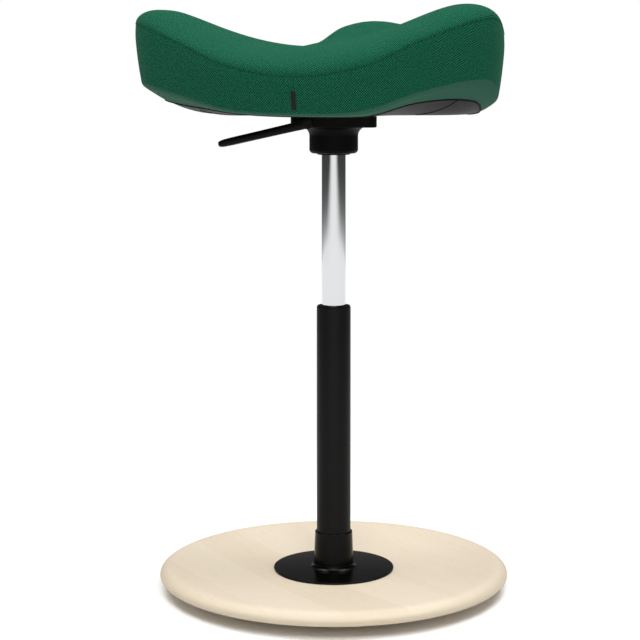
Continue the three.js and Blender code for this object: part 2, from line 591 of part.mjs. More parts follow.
// Handle: a round root on the shaft and a paddle that widens and slopes down to its tip.
function handleBody() {
  const reachX = LEVER.tipX - LEVER.axisX;
  const tipZ = seatPlane - LEVER.tipDrop;
  const slope = Math.atan2(leverAxisZ - tipZ, -reachX);
  const middleY = plateFront - LEVER.faceGap - LEVER.rootWidth / 2;
  const at = (share) => [LEVER.axisX + share * reachX, leverAxisZ + share * (tipZ - leverAxisZ)];
  const rings = HANDLE_SHARES.map(([share, wide, thick, swept]) => {
    const [x, z] = at(share);
    const [halfWidth, halfThickness] = [wide * LEVER.paddleHalfWidth, thick * LEVER.paddleHalfThickness];
    const shift = swept * LEVER.sweep;
    return Array.from({ length: FACETS.small }, (_, i) => {
      const angle = (2 * Math.PI * i) / FACETS.small;
      const side = Math.sign(Math.cos(angle)) * Math.abs(Math.cos(angle)) ** HANDLE_ROUND_SHARES[0];
      const lift = Math.sign(Math.sin(angle)) * Math.abs(Math.sin(angle)) ** HANDLE_ROUND_SHARES[1];
      return [
        x - halfThickness * lift * Math.sin(slope), middleY - shift + halfWidth * side,
        z + halfThickness * lift * Math.cos(slope),
      ];
    });
  });
  const [x0, z0] = at(0);
  const [x1, z1] = at(1);
  return loft([[[x0, middleY, z0]], ...rings, [[x1, middleY - LEVER.sweep, z1]]]);
}
piece("lever_handle", cut(
  join(
    handleBody(),
    rodAlongY(LEVER.rootRadius, rootFront, plateFront - LEVER.faceGap, LEVER.axisX, leverAxisZ, FACETS.bore),
  ),
  rodAlongY(LEVER.shaftRadius + GAP.press, shaftFront, plateFront, LEVER.axisX, leverAxisZ, FACETS.small),
), INK.plastic);

// Seat.

// Share in one column of the seat sections at an azimuth, by a smooth curve through the rows all the way round.
function seatShare(column, azimuth) {
  const count = SEAT_SECTION_SHARES.length;
  const around360 = (k) => ((k % count) + count) % count;
  const angleOf = (k) => SEAT_AZIMUTH_DEGREES[around360(k)] + 360 * Math.floor(k / count);
  const valueOf = (k) => SEAT_SECTION_SHARES[around360(k)][column];
  let target = ((azimuth % 360) + 360) % 360;
  if (target < SEAT_AZIMUTH_DEGREES[0]) target += 360;
  let k = 0;
  while (angleOf(k + 1) <= target) k++;
  const span = angleOf(k + 1) - angleOf(k);
  const t = (target - angleOf(k)) / span;
  const slope = (m) => (valueOf(m + 1) - valueOf(m - 1)) / (angleOf(m + 1) - angleOf(m - 1));
  return (
    (2 * t ** 3 - 3 * t ** 2 + 1) * valueOf(k) + (t ** 3 - 2 * t ** 2 + t) * span * slope(k)
    + (3 * t ** 2 - 2 * t ** 3) * valueOf(k + 1) + (t ** 3 - t ** 2) * span * slope(k + 1)
  );
}

// Share of the crest height at a share of the crest radius.
function dipShare(share) {
  const k = Math.max(0, DIP_SHARES.findIndex(([s]) => s >= share) - 1);
  const [[s0, h0], [s1, h1]] = [DIP_SHARES[k], DIP_SHARES[k + 1]];
  return h0 + ((h1 - h0) * (share - s0)) / (s1 - s0);
}

function seatSection(azimuth) {
  const [outer, crestRadius, rise] = [0, 1, 5].map((column) => SEAT.reach * seatShare(column, azimuth));
  const [crest, seam, hem] = [2, 3, 4].map((column) => SEAT.crownHeight * seatShare(column, azimuth));
  const hemRadius = outer - SEAT.hemInset;
  // Height of the underside at a radius.
  const under = (r) => hem * Math.max(0, (r - rise) / (hemRadius - rise)) ** 2;
  return { azimuth, outer, crestRadius, crest, seam, hem, under, hemRadius };
}

const sections = Array.from({ length: FACETS.seat }, (_, i) => seatSection((360 * i) / FACETS.seat));

// Fabric outline of a section from the fold under the seat up to the seam, as radius and height pairs.
function bandOutline(s) {
  const r0 = s.outer - SEAT.foldInset;
  const r1 = (r0 + s.hemRadius) / 2;
  const height = s.seam - s.hem;
  return [
    [r0, s.under(r0)], [r1, s.under(r1)],
    ...BAND_SHARES.map(([low, high, rise]) => [
      s.outer - low * SEAT.hemInset - high * SEAT.seamInset, s.hem + rise * height,
    ]),
  ];
}

// Fabric outline of a section from the seam over the crest towards the middle of the dip.
function topOutline(s) {
  const seamRadius = s.outer - SEAT.seamInset;
  const crown = CROWN_DEGREES.map((degrees) => [
    s.crestRadius + (seamRadius - s.crestRadius) * Math.cos(radians(degrees)),
    s.seam + (s.crest - s.seam) * Math.sin(radians(degrees)),
  ]);
  const dip = DIP_RING_SHARES.map((share) => [
    share * s.crestRadius, SEAT.centreHeight + (s.crest - SEAT.centreHeight) * dipShare(share),
  ]);
  return [...crown, ...dip];
}

// The outline moved inwards by a distance along its normals, but level at the seam and upright at the fold's edge.
function inset(points, distance, seamIndex) {
  return points.map((point, k) => {
    if (k === seamIndex) return [point[0] - distance, point[1]];
    if (k === 0) return [point[0], point[1] + distance];
    const before = points[Math.max(0, k - 1)];
    const after = points[Math.min(points.length - 1, k + 1)];
    const [dr, dz] = [after[0] - before[0], after[1] - before[1]];
    const length = Math.hypot(dr, dz);
    return [point[0] - (distance * dz) / length, point[1] + (distance * dr) / length];
  });
}

// Rings of points from one outline per section.
function ringsOf(outlines) {
  return outlines[0].map((_, k) => outlines.map((outline, i) => {
    const angle = radians(sections[i].azimuth);
    return [outline[k][0] * Math.cos(angle), outline[k][0] * Math.sin(angle), seatPlane + outline[k][1]];
  }));
}
const pole = (height) => [[0, 0, seatPlane + height]];

// Side band of the cover with the fold that runs under the seat.
const bandSeam = bandOutline(sections[0]).length - 1;
piece("cover_band", loft(ringsOf(sections.map((s) => {
  const outer = bandOutline(s);
  return [...outer, ...inset(outer, SEAT.cover, bandSeam).reverse()];
})), true), INK.fabric);

// Top panel of the cover, sewn to the band along the seam.
const topSkin = ringsOf(sections.map((s) => {
  const outer = topOutline(s);
  return [...inset(outer, SEAT.cover, 0).reverse(), ...outer];
}));
piece("cover_top", loft([
  pole(SEAT.centreHeight - SEAT.cover), ...topSkin, pole(SEAT.centreHeight),
]), INK.fabric);

// Shell: flat boss on the housing, then a curved pan that leaves room for the fold and the underside panel.
const shellLift = SEAT.cover + GAP.fold;
function shellRadii(s) {
  const end = s.outer - SEAT.shellInset;
  return SHELL_SHARES.map((share) => SEAT.bossRadius + share * (end - SEAT.bossRadius));
}
const shellRings = ringsOf(sections.map((s) => {
  const radii = shellRadii(s);
  return [
    [SEAT.bossRadius, 0], ...radii.map((r) => [r, s.under(r) + shellLift]),
    ...radii.reverse().map((r) => [r, s.under(r) + SEAT.shell]),
  ];
}));
const teeTop = seatPlane + SEAT.shell;
const teeSeat = teeTop - TEE.flangeThickness - GAP.press;
const teeHoles = repeated(
  revolve([
    [0, plateLow], [TEE.barrelRadius + GAP.press, plateLow], [TEE.barrelRadius + GAP.press, teeSeat],
    [TEE.flangeRadius + GAP.press, teeSeat], [TEE.flangeRadius + GAP.press, above], [0, above],
  ], FACETS.small),
  boltPlaces,
);
piece("seat_shell", cut(loft([pole(0), ...shellRings, pole(SEAT.shell)]), teeHoles), INK.wood);
const teeBore = HUB_SCREW.shankRadius + GAP.thread;
pieces("tee_nut", revolve([
  [teeBore, teeSeat - TEE.barrelHeight], [TEE.barrelRadius, teeSeat - TEE.barrelHeight],
  [TEE.barrelRadius, teeSeat], [TEE.flangeRadius, teeSeat], [TEE.flangeRadius, teeSeat + TEE.flangeThickness],
  [teeBore, teeSeat + TEE.flangeThickness],
], FACETS.small), boltPlaces, INK.steel);

// Grey panel that closes the underside between the housing and the fold of the cover.
piece("underside_panel", loft(ringsOf(sections.map((s) => {
  const end = s.outer - SEAT.foldInset - GAP.slide;
  const radii = [SEAT.bossRadius + SEAT.bossGap, ...shellRadii(s).slice(1, -1).filter((r) => r < end), end];
  const low = shellLift - GAP.skin - SEAT.panel;
  return [
    ...radii.map((r) => [r, s.under(r) + low]),
    ...radii.reverse().map((r) => [r, s.under(r) + low + SEAT.panel]),
  ];
})), true), INK.grey);

// Foam: over the shell and around its edge, with the crown, lobes and dip under the cover.
const foamInset = SEAT.cover + GAP.skin;
const foldInset = SEAT.cover + GAP.hole;
const foamRings = ringsOf(sections.map((s) => {
  const radii = shellRadii(s);
  const edge = radii.at(-1) + GAP.hole;
  const side = [
    ...inset(bandOutline(s), foldInset, bandSeam).slice(2, 3),
    ...inset(bandOutline(s), foamInset, bandSeam).slice(3),
  ];
  const crown = inset(topOutline(s), foamInset, 0).slice(1);
  return [
    ...radii.map((r) => [r, s.under(r) + SEAT.shell + GAP.skin]),
    [edge, s.under(edge) + SEAT.shell + GAP.skin], [edge, s.under(edge) + shellLift], ...side, ...crown,
  ];
}));
piece("seat_foam", loft([
  pole(SEAT.shell + GAP.skin), ...foamRings, pole(SEAT.centreHeight - foamInset),
]), INK.foam);

// Blank tag sewn to the band, whose outline it follows. The band's flats lie inside its true radius.
const tagSection = seatSection(TAG.azimuth);
const tagOutline = bandOutline(tagSection);
const flatShare = Math.cos(Math.PI / FACETS.seat);
const tagLow = tagSection.hem + TAG.rise;
const tagHigh = tagLow + TAG.height;
function tagRadius(z) {
  const k = tagOutline.findIndex(([, height]) => height >= z);
  const [[r0, z0], [r1, z1]] = [tagOutline[k - 1], tagOutline[k]];
  return (r0 + ((r1 - r0) * (z - z0)) / (z1 - z0)) * flatShare + GAP.slide;
}
const tagHeights = [tagLow, ...tagOutline.map(([, z]) => z).filter((z) => z > tagLow && z < tagHigh), tagHigh];
const tagRings = tagHeights.map((z) => {
  const [back, half] = [tagRadius(z), TAG.width / 2];
  const front = back + TAG.thickness;
  return [[back, -half], [front, -half], [front, half], [back, half]].map(([x, y]) => [x, y, seatPlane + z]);
});
const tagEnd = (z) => [[tagRadius(z) + TAG.thickness / 2, 0, seatPlane + z]];
piece("seat_label", loft([
  tagEnd(tagLow), ...tagRings, tagEnd(tagHigh),
]).rotateZ(radians(TAG.azimuth)), INK.black);

export default stool;
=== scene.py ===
"""Perch stool: dished wooden base, gas-lift column, release lever and padded three-lobed seat."""
import json
import logging
import math
from collections.abc import Callable, Iterable, Sequence
from dataclasses import dataclass, field
from enum import Enum
from functools import partial

import bmesh
import bpy
import numpy as np
from mathutils import Matrix, Vector
from mathutils.bvhtree import BVHTree

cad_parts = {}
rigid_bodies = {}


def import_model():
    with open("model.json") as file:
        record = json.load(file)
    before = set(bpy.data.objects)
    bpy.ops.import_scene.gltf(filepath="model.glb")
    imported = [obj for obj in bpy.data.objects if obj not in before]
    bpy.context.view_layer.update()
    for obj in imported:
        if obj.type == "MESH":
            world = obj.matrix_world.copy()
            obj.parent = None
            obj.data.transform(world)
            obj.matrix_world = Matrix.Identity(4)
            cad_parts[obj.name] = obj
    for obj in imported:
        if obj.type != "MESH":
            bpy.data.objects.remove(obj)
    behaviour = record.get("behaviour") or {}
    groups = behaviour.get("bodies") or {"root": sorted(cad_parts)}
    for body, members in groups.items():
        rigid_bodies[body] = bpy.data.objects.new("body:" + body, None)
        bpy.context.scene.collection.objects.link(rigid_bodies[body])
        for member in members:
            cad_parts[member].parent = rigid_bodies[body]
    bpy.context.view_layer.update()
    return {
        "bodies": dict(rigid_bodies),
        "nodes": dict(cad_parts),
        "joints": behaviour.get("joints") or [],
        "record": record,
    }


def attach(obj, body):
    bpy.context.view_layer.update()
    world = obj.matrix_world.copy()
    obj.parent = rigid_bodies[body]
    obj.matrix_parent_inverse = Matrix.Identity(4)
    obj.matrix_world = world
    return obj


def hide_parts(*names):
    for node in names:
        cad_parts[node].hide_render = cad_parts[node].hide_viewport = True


LOG = logging.getLogger("perch_stool")
Mesh = bpy.types.Mesh
Piece = bpy.types.Object
Socket = bpy.types.NodeSocket
Nodes = dict[str, Piece]
Triple = tuple[float, float, float]
Colour = Triple
Pair = tuple[float, float]
TURN = 2 * math.pi
# X and Z of the lever's axis, and the spans along X and Y between the bolts that carry the seat.
LEVER_AXIS: Pair = (-0.030, 0.5494)
BOLT_SPAN: Pair = (0.084, 0.073)
# Height of a step in a turned outline where its radius changes at once.
SHOULDER = 0.00001
WHITE = (1.0, 1.0, 1.0, 1.0)


class Layout(Enum):
    """How a set of fasteners is laid out."""

    CIRCLE = "circle"
    RECTANGLE = "rectangle"


class Zone(Enum):
    """Parts of the cushion's outline, from the hidden underside to the middle of the dip."""

    HIDDEN = 0
    FOLD = 1
    BAND = 2
    CROWN = 3
    DIP = 4


@dataclass
class Graph:
    """Adds and links nodes in one tree."""

    tree: bpy.types.NodeTree

    @classmethod
    def fresh(cls, owner: bpy.types.Material | bpy.types.World) -> "Graph":
        """Empties the node tree of a material or a world.

        Args:
            owner: the material or world.

        Returns:
            Its tree, ready for nodes.
        """
        owner.use_nodes = True
        owner.node_tree.nodes.clear()
        return cls(owner.node_tree)

    def feed(self, node: bpy.types.Node, values: dict) -> None:
        """Links sockets to a node's inputs, and sets plain values on them.

        Args:
            node: the node.
            values: a value or an output socket for each input, by name or index.
        """
        for socket, value in values.items():
            if isinstance(value, Socket):
                self.tree.links.new(value, node.inputs[socket])
            else:
                node.inputs[socket].default_value = value

    def add(self, kind: str, values: dict | None = None, **settings: object) -> bpy.types.Node:
        """Adds a node.

        Args:
            kind: the node's type.
            values: a value or an output socket for each of its inputs, by name or index.
            **settings: the node's own options.

        Returns:
            The node.
        """
        node = self.tree.nodes.new(kind)
        for name, value in settings.items():
            setattr(node, name, value)
        self.feed(node, values or {})
        return node

    def place(self) -> Socket:
        """Where a point of the object is, in metres."""
        return self.add("ShaderNodeTexCoord").outputs["Object"]

    def parts(self, vector: object) -> Sequence[Socket]:
        """The X, Y and Z of a vector."""
        return self.add("ShaderNodeSeparateXYZ", {0: vector}).outputs

    def times(self, first: object, second: object, clamp: bool = False) -> Socket:
        """The product of two values, held from 0 to 1 where asked."""
        return self.math("MULTIPLY", first, second, clamp)

    def plus(self, first: object, second: object, clamp: bool = False) -> Socket:
        """The sum of two values, held from 0 to 1 where asked."""
        return self.math("ADD", first, second, clamp)

    def math(self, operation: str, first: object, second: object = 0.0,
             clamp: bool = False) -> Socket:
        """Does arithmetic on one or two values, held from 0 to 1 where asked."""
        return self.add("ShaderNodeMath", {0: first, 1: second}, operation=operation,
                        use_clamp=clamp).outputs[0]

    def noise(self, vector: object, scale: float, detail: float = 2.0,
              distortion: float = 0.0) -> Socket:
        """Noise about 0.5, with its scale in cells to a metre of the vector."""
        values = {"Vector": vector, "Scale": scale, "Detail": detail, "Distortion": distortion}
        return self.add("ShaderNodeTexNoise", values).outputs[0]

    def mapped(self, vector: object, scale: Colour = (1, 1, 1), turn: float = 0.0) -> Socket:
        """A vector, scaled along its axes and turned about Z by an angle in radians."""
        return self.add("ShaderNodeMapping",
                        {"Vector": vector, "Scale": scale, "Rotation": (0, 0, turn)}).outputs[0]

    def blend(self, amount: object, first: object, second: object, mode: str = "MIX") -> Socket:
        """Mixes a share of the second colour into the first."""
        values = {0: amount, 6: rgba(first), 7: rgba(second)}
        return self.add("ShaderNodeMix", values, data_type="RGBA", blend_type=mode).outputs[2]

    def ramp(self, amount: object, stops: Sequence[tuple[float, Colour]]) -> Socket:
        """Turns a value into a colour.

        Args:
            amount: the value's socket.
            stops: positions with their colours.

        Returns:
            The colour.
        """
        node = self.add("ShaderNodeValToRGB", {0: amount})
        elements = node.color_ramp.elements
        while len(elements) < len(stops):
            elements.new(0.5)
        for element, (place, colour) in zip(elements, stops):
            element.position, element.color = place, rgba(colour)
        return node.outputs[0]

    def bump(self, height: object, distance: float, strength: float) -> Socket:
        """Turns a height from 0 to 1 into a normal; 1 stands as high as the distance."""
        values = {"Height": height, "Distance": distance, "Strength": strength}
        return self.add("ShaderNodeBump", values).outputs[0]

    def span(self, value: object, low: float = 0.0, high: float = 1.0, start: float = 0.0,
             end: object = 1.0, **settings: object) -> Socket:
        """Maps the values from start to end onto a span, and holds them inside it."""
        values = {0: value, 1: start, 2: end, 3: low, 4: high}
        return self.add("ShaderNodeMapRange", values, **settings).outputs[0]


def rgba(colour: object) -> object:
    """A colour with its alpha, or the socket as it is."""
    return (*colour, 1.0) if isinstance(colour, tuple) and len(colour) == 3 else colour


@dataclass(frozen=True)
class Finish:
    """A procedural material. Its subclasses dress the shader."""

    name: str

    def dress(self, graph: Graph, shader: bpy.types.Node) -> None:
        """Links the finish's nodes to the shader of a material."""
        raise NotImplementedError

    def material(self) -> bpy.types.Material:
        """Makes the material once and finds it again later.

        Returns:
            The material.
        """
        found = bpy.data.materials.get(self.name)
        if found:
            return found
        made = bpy.data.materials.new(self.name)
        graph = Graph.fresh(made)
        shader = graph.add("ShaderNodeBsdfPrincipled")
        graph.add("ShaderNodeOutputMaterial", {0: shader.outputs[0]})
        self.dress(graph, shader)
        return made


@dataclass(frozen=True)
class Coated(Finish):
    """Paint, moulded plastic, rubber or metal: mottled colour, uneven gloss and a fine grain."""

    colour: Colour = (0.02, 0.02, 0.02)
    worn: Colour = (0.04, 0.04, 0.04)
    gloss: Pair = (0.4, 0.5)
    metallic: float = 0.0
    specular: float = 0.5
    grain: float = 1500.0
    depth: float = 0.00002
    stretch: Colour = (1.0, 1.0, 1.0)
    cloud: float = 25.0
    cloud_detail: float = 4.0
    cloud_span: Pair = (-0.4, 1.4)

    def dress(self, graph: Graph, shader: bpy.types.Node) -> None:
        """Links mottling, gloss and grain to the shader.

        Args:
            graph: the material's nodes.
            shader: its shader node.
        """
        place = graph.place()
        clouds = graph.noise(place, self.cloud, self.cloud_detail)
        grain = graph.noise(graph.mapped(place, self.stretch), self.grain)
        amount = graph.times(graph.span(clouds, *self.cloud_span), grain, True)
        graph.feed(shader, {
            "Base Color": graph.blend(amount, self.colour, self.worn),
            "Roughness": graph.span(amount, *self.gloss),
            "Normal": graph.bump(grain, self.depth, 1.0),
            "Metallic": self.metallic,
            "Specular IOR Level": self.specular})


@dataclass(frozen=True)
class Birch(Finish):
    """Pale laminated wood under matt lacquer: staves side by side, fine grain and small flecks."""

    light: Colour = (0.875, 0.770, 0.618)
    warm: Colour = (0.795, 0.670, 0.511)
    fleck: Colour = (0.56, 0.43, 0.30)
    # Painted shade: a darker colour near the rim tones down the light that the lamps throw on it.
    rim: Colour = (0.72, 0.615, 0.458)
    rim_shade_span: Pair = (0.196, 0.203)
    # Painted shade: a dark colour under the disc darkens the floor's shadow beneath the rim.
    under: Colour = (0.020, 0.019, 0.018)
    shade_under_span: Pair = (0.0072, 0.0076)
    rim_shade_share: float = 0.8
    stave: float = 0.068
    stave_start: float = 20.37
    turn: float = 1.019
    board_shift: float = 3.0
    streaks: Triple = (9, 150, 150)
    streak_share: float = 0.5
    bands: Triple = (2.2, 26, 26)
    band_share: float = 0.62
    board_share: float = 0.42
    flecks: Triple = (60, 900, 900)
    fleck_from: float = 0.66
    fleck_share: float = 0.22
    joint_from: float = 0.4965
    joint_share: float = 0.10
    gloss: Pair = (0.42, 0.56)
    relief: Pair = (0.00006, 0.6)
    specular: float = 0.3
    lacquer: float = 0.12
    lacquer_roughness: float = 0.35

    def boards(self, graph: Graph, place: Socket) -> tuple[Socket, ...]:
        """Lays staves side by side, each with a tone and a grain of its own.

        Args:
            graph: the material's nodes.
            place: where a point of the object is.

        Returns:
            The place across the staves, counted in staves, the streaks along them, and the colour.
        """
        turned = graph.mapped(place, turn=self.turn)
        across = graph.math("DIVIDE", graph.parts(turned)[1], self.stave)
        across = graph.plus(across, self.stave_start)
        number = {"W": graph.math("FLOOR", across)}
        own = graph.add("ShaderNodeTexWhiteNoise", number, noise_dimensions="1D").outputs["Value"]
        away = graph.add("ShaderNodeCombineXYZ", {0: graph.times(own, self.board_shift), 2: own})
        moved = {0: turned, 1: away.outputs[0]}
        shifted = graph.add("ShaderNodeVectorMath", moved, operation="ADD").outputs[0]
        streaks = graph.noise(graph.mapped(shifted, self.streaks), 1.0, 4.0, 0.4)
        bands = graph.noise(graph.mapped(shifted, self.bands), 1.0, 2.0, 0.8)
        flecks = graph.noise(graph.mapped(shifted, self.flecks), 1.0, 1.0)
        tone = graph.plus(graph.times(own, self.board_share), graph.times(bands, self.band_share))
        uneven = graph.times(graph.math("SUBTRACT", streaks, 0.5), self.streak_share)
        base = graph.blend(graph.plus(tone, uneven, True), self.light, self.warm)
        spot = graph.times(graph.math("GREATER_THAN", flecks, self.fleck_from), self.fleck_share)
        return across, streaks, graph.blend(spot, base, self.fleck)

    def dress(self, graph: Graph, shader: bpy.types.Node) -> None:
        """Links staves, painted shade on the rim, a dark underside that deepens the floor's shadow,
        and joints to the shader.

        Args:
            graph: the material's nodes.
            shader: its shader node.
        """
        place = graph.place()
        across, streaks, base = self.boards(graph, place)
        flat = graph.add("ShaderNodeVectorMath", {0: place, 1: (1, 1, 0)}, operation="MULTIPLY")
        reach = graph.add("ShaderNodeVectorMath", {0: flat.outputs[0]}, operation="LENGTH")
        # Painted shade on the rim.
        outside = graph.span(reach.outputs["Value"], 0.0, self.rim_shade_share, *self.rim_shade_span)
        base = graph.blend(outside, base, self.rim)
        # Painted shade: the underside turns dark, which darkens the floor's shadow under the rim.
        lit = graph.span(graph.parts(place)[2], 0.0, 1.0, *self.shade_under_span)
        base = graph.blend(lit, self.under, base)
        edge = graph.math("ABSOLUTE", graph.math("SUBTRACT", graph.math("FRACT", across), 0.5))
        joint = graph.times(graph.math("GREATER_THAN", edge, self.joint_from), self.joint_share)
        graph.feed(shader, {
            "Base Color": graph.blend(joint, base, self.fleck),
            "Roughness": graph.span(streaks, *self.gloss),
            "Normal": graph.bump(streaks, *self.relief),
            "Specular IOR Level": self.specular,
            "Coat Weight": self.lacquer,
            "Coat Roughness": self.lacquer_roughness})


@dataclass(frozen=True)
class Cloth(Finish):
    """Woven cover cloth: fine specks over a diagonal weave, painted shade in seams, painted light
    turned under.
    """

    dark: Colour = (0.0005, 0.021, 0.010)
    middle: Colour = (0.0035, 0.084, 0.0425)
    light: Colour = (0.022, 0.165, 0.098)
    # Painted light: the turned-under edge is paler, standing in for light from the floor and a
    # grazing sheen.
    hem_painted_light: Colour = (0.040, 0.112, 0.078)
    pitch: float = 0.0028
    wander: Triple = (0.14, 2.5, 1.5)
    wave_heights: Pair = (0.30, 0.34)
    patches: Pair = (0.08, 2.0)
    patch_span: Pair = (0.3, 1.5)
    specks: Pair = (1.3, 1.5)
    speck_span: Pair = (0.12, 0.88)
    hem_span: Pair = (0.3, 0.6)
    rib_span: Pair = (0.75, 0.95)
    # Painted shade: the cloth is darkened along the seam.
    seam_shade_share: float = 0.04
    gloss: Pair = (0.95, 0.8)
    relief: Pair = (0.0003, 0.7)
    specular: float = 0.06
    sheen: float = 0.06
    sheen_roughness: float = 0.35
    sheen_tint: Colour = (0.55, 0.95, 0.75)

    def weave(self, graph: Graph, uv: Socket) -> Socket:
        """Crosses two diagonal waves that wander a little, in uneven patches, and adds fine specks.

        Args:
            graph: the material's nodes.
            uv: the place on the cloth, in metres.

        Returns:
            The height of the threads, from 0 to 1.
        """
        parts = graph.parts(uv)
        scale, detail, reach = self.wander
        reach *= self.pitch
        drift = graph.span(graph.noise(uv, scale / self.pitch, detail), -reach, reach)
        ways = [graph.math(operation, parts[0], parts[1]) for operation in ("ADD", "SUBTRACT")]
        waves = [graph.times(graph.plus(way, drift), TURN / self.pitch) for way in ways]
        waves = [graph.times(graph.math("COSINE", wave), share)
                 for wave, share in zip(waves, self.wave_heights)]
        scale, detail = self.patches
        patches = graph.span(graph.noise(uv, scale / self.pitch, detail), *self.patch_span)
        dots = graph.times(graph.plus(*waves), patches)
        scale, detail = self.specks
        specks = graph.span(graph.noise(uv, scale / self.pitch, detail), *self.speck_span)
        return graph.plus(specks, dots, True)

    def dress(self, graph: Graph, shader: bpy.types.Node) -> None:
        """Links weave, painted light on the turned-under edge, painted shade at the seam and sheen
        to the shader.

        Args:
            graph: the material's nodes.
            shader: its shader node.
        """
        uv = graph.add("ShaderNodeUVMap", uv_map="weave").outputs[0]
        height = self.weave(graph, uv)
        colour = graph.ramp(height, ((0.0, self.dark), (0.5, self.middle), (1.0, self.light)))
        hem, seam = (graph.add("ShaderNodeAttribute", attribute_name=name).outputs["Fac"]
                     for name in ("hem", "seam"))
        # Painted light on the turned-under edge, laid in ribs.
        ribs = graph.math("SINE", graph.times(graph.parts(uv)[0], TURN / self.pitch))
        hem_light_ribs = graph.times(graph.span(hem, 0.0, 1.0, *self.hem_span),
                             graph.span(ribs, *self.rib_span))
        colour = graph.blend(hem_light_ribs, colour, self.hem_painted_light)
        graph.feed(shader, {
            # Painted shade along the seam.
            "Base Color": graph.blend(graph.times(seam, self.seam_shade_share), colour, self.dark),
            "Roughness": graph.span(height, *self.gloss),
            "Normal": graph.bump(height, *self.relief),
            "Specular IOR Level": self.specular,
            "Sheen Weight": self.sheen,
            "Sheen Roughness": self.sheen_roughness,
            "Sheen Tint": rgba(self.sheen_tint)})


@dataclass(frozen=True)
class Felted(Finish):
    """Flat lining, thread or ribbon: a fine irregular fibre pattern on the object's own place."""

    colour: Colour = (0.06, 0.055, 0.058)
    pale: Colour = (0.10, 0.095, 0.098)
    fibre: float = 900.0
    sheen: float = 0.15
    stretch: Triple = (1.0, 0.45, 1.0)
    lie: float = 0.7
    fibre_span: Pair = (-0.3, 1.5)
    soft_share: float = 12
    soft_span: Pair = (0.6, 1.2)
    gloss: Pair = (0.95, 0.8)
    relief: Pair = (0.0002, 0.6)
    specular: float = 0.15

    def dress(self, graph: Graph, shader: bpy.types.Node) -> None:
        """Links the fibre pattern to the shader.

        Args:
            graph: the material's nodes.
            shader: its shader node.
        """
        place = graph.place()
        fibres = graph.noise(graph.mapped(place, self.stretch, self.lie), self.fibre, 3.0, 0.5)
        soft = graph.noise(place, self.fibre / self.soft_share)
        amount = graph.times(graph.span(fibres, *self.fibre_span),
                             graph.span(soft, *self.soft_span), True)
        graph.feed(shader, {
            "Base Color": graph.blend(amount, self.colour, self.pale),
            "Roughness": graph.span(amount, *self.gloss),
            "Normal": graph.bump(fibres, *self.relief),
            "Specular IOR Level": self.specular,
            "Sheen Weight": self.sheen})


@dataclass(frozen=True)
class Palette:
    """Every finish of the stool."""

    birch: Finish = Birch("pale_birch")
    plywood: Finish = Birch("shell_birch", light=(0.62, 0.48, 0.32), warm=(0.5, 0.36, 0.22),
                            lacquer=0.0)
    paint: Finish = Coated("black_gloss_paint", (0.0012, 0.0012, 0.0012), (0.0025, 0.0025, 0.0025),
                           (0.2, 0.3), specular=0.13, grain=1400.0, depth=0.00001)
    satin: Finish = Coated("black_satin_paint", (0.005, 0.005, 0.005), (0.009, 0.009, 0.009),
                           (0.38, 0.5), specular=0.13, grain=1400.0, depth=0.00003)
    casting: Finish = Coated("black_cast_paint", (0.0015, 0.0015, 0.0015), (0.0035, 0.0035, 0.0035),
                             (0.42, 0.55), specular=0.06, grain=900.0, depth=0.00004)
    moulding: Finish = Coated(
        "black_moulding", (0.003, 0.003, 0.003), (0.006, 0.006, 0.006), (0.42, 0.56), specular=0.10,
        grain=1800.0, depth=0.00002)
    chrome: Finish = Coated(
        "polished_chrome", (0.78, 0.79, 0.80), (0.72, 0.73, 0.74), (0.07, 0.13), metallic=1.0,
        grain=500.0, depth=0.000002, stretch=(1.0, 1.0, 0.05))
    zinc: Finish = Coated("zinc_plate", (0.46, 0.47, 0.49), (0.36, 0.37, 0.40), (0.28, 0.42),
                          metallic=1.0, grain=800.0, depth=0.00001)
    brass: Finish = Coated("turned_brass", (0.62, 0.45, 0.20), (0.48, 0.33, 0.14), (0.25, 0.4),
                           metallic=1.0, grain=600.0, depth=0.00001, stretch=(1.0, 1.0, 6.0))
    rubber: Finish = Coated("black_rubber", (0.010, 0.010, 0.011), (0.022, 0.022, 0.022),
                            (0.7, 0.85), specular=0.3, grain=1100.0, depth=0.00008)
    cloth: Finish = Cloth("green_cloth")
    lining: Finish = Felted("grey_lining", (0.018, 0.0175, 0.0185), (0.030, 0.0295, 0.031))
    binding: Finish = Felted("black_binding", (0.006, 0.006, 0.006), (0.014, 0.014, 0.014),
                             sheen=0.0)
    thread: Finish = Felted("green_thread", (0.003, 0.050, 0.025), (0.006, 0.075, 0.038), 2500.0,
                            0.0)
    ribbon: Finish = Felted("tag_ribbon", (0.008, 0.009, 0.008), (0.018, 0.019, 0.018), 2200.0,
                            0.05)


class Node:
    """CAD nodes that keep their own shape and take a procedural finish."""

    @staticmethod
    def dress(nodes: Nodes, names: Iterable[str], finish: Finish) -> None:
        """Gives nodes one finish.

        Args:
            nodes: the CAD nodes by name.
            names: the nodes to dress.
            finish: their finish.
        """
        for name in names:
            for slot in nodes[name].material_slots:
                slot.material = finish.material()


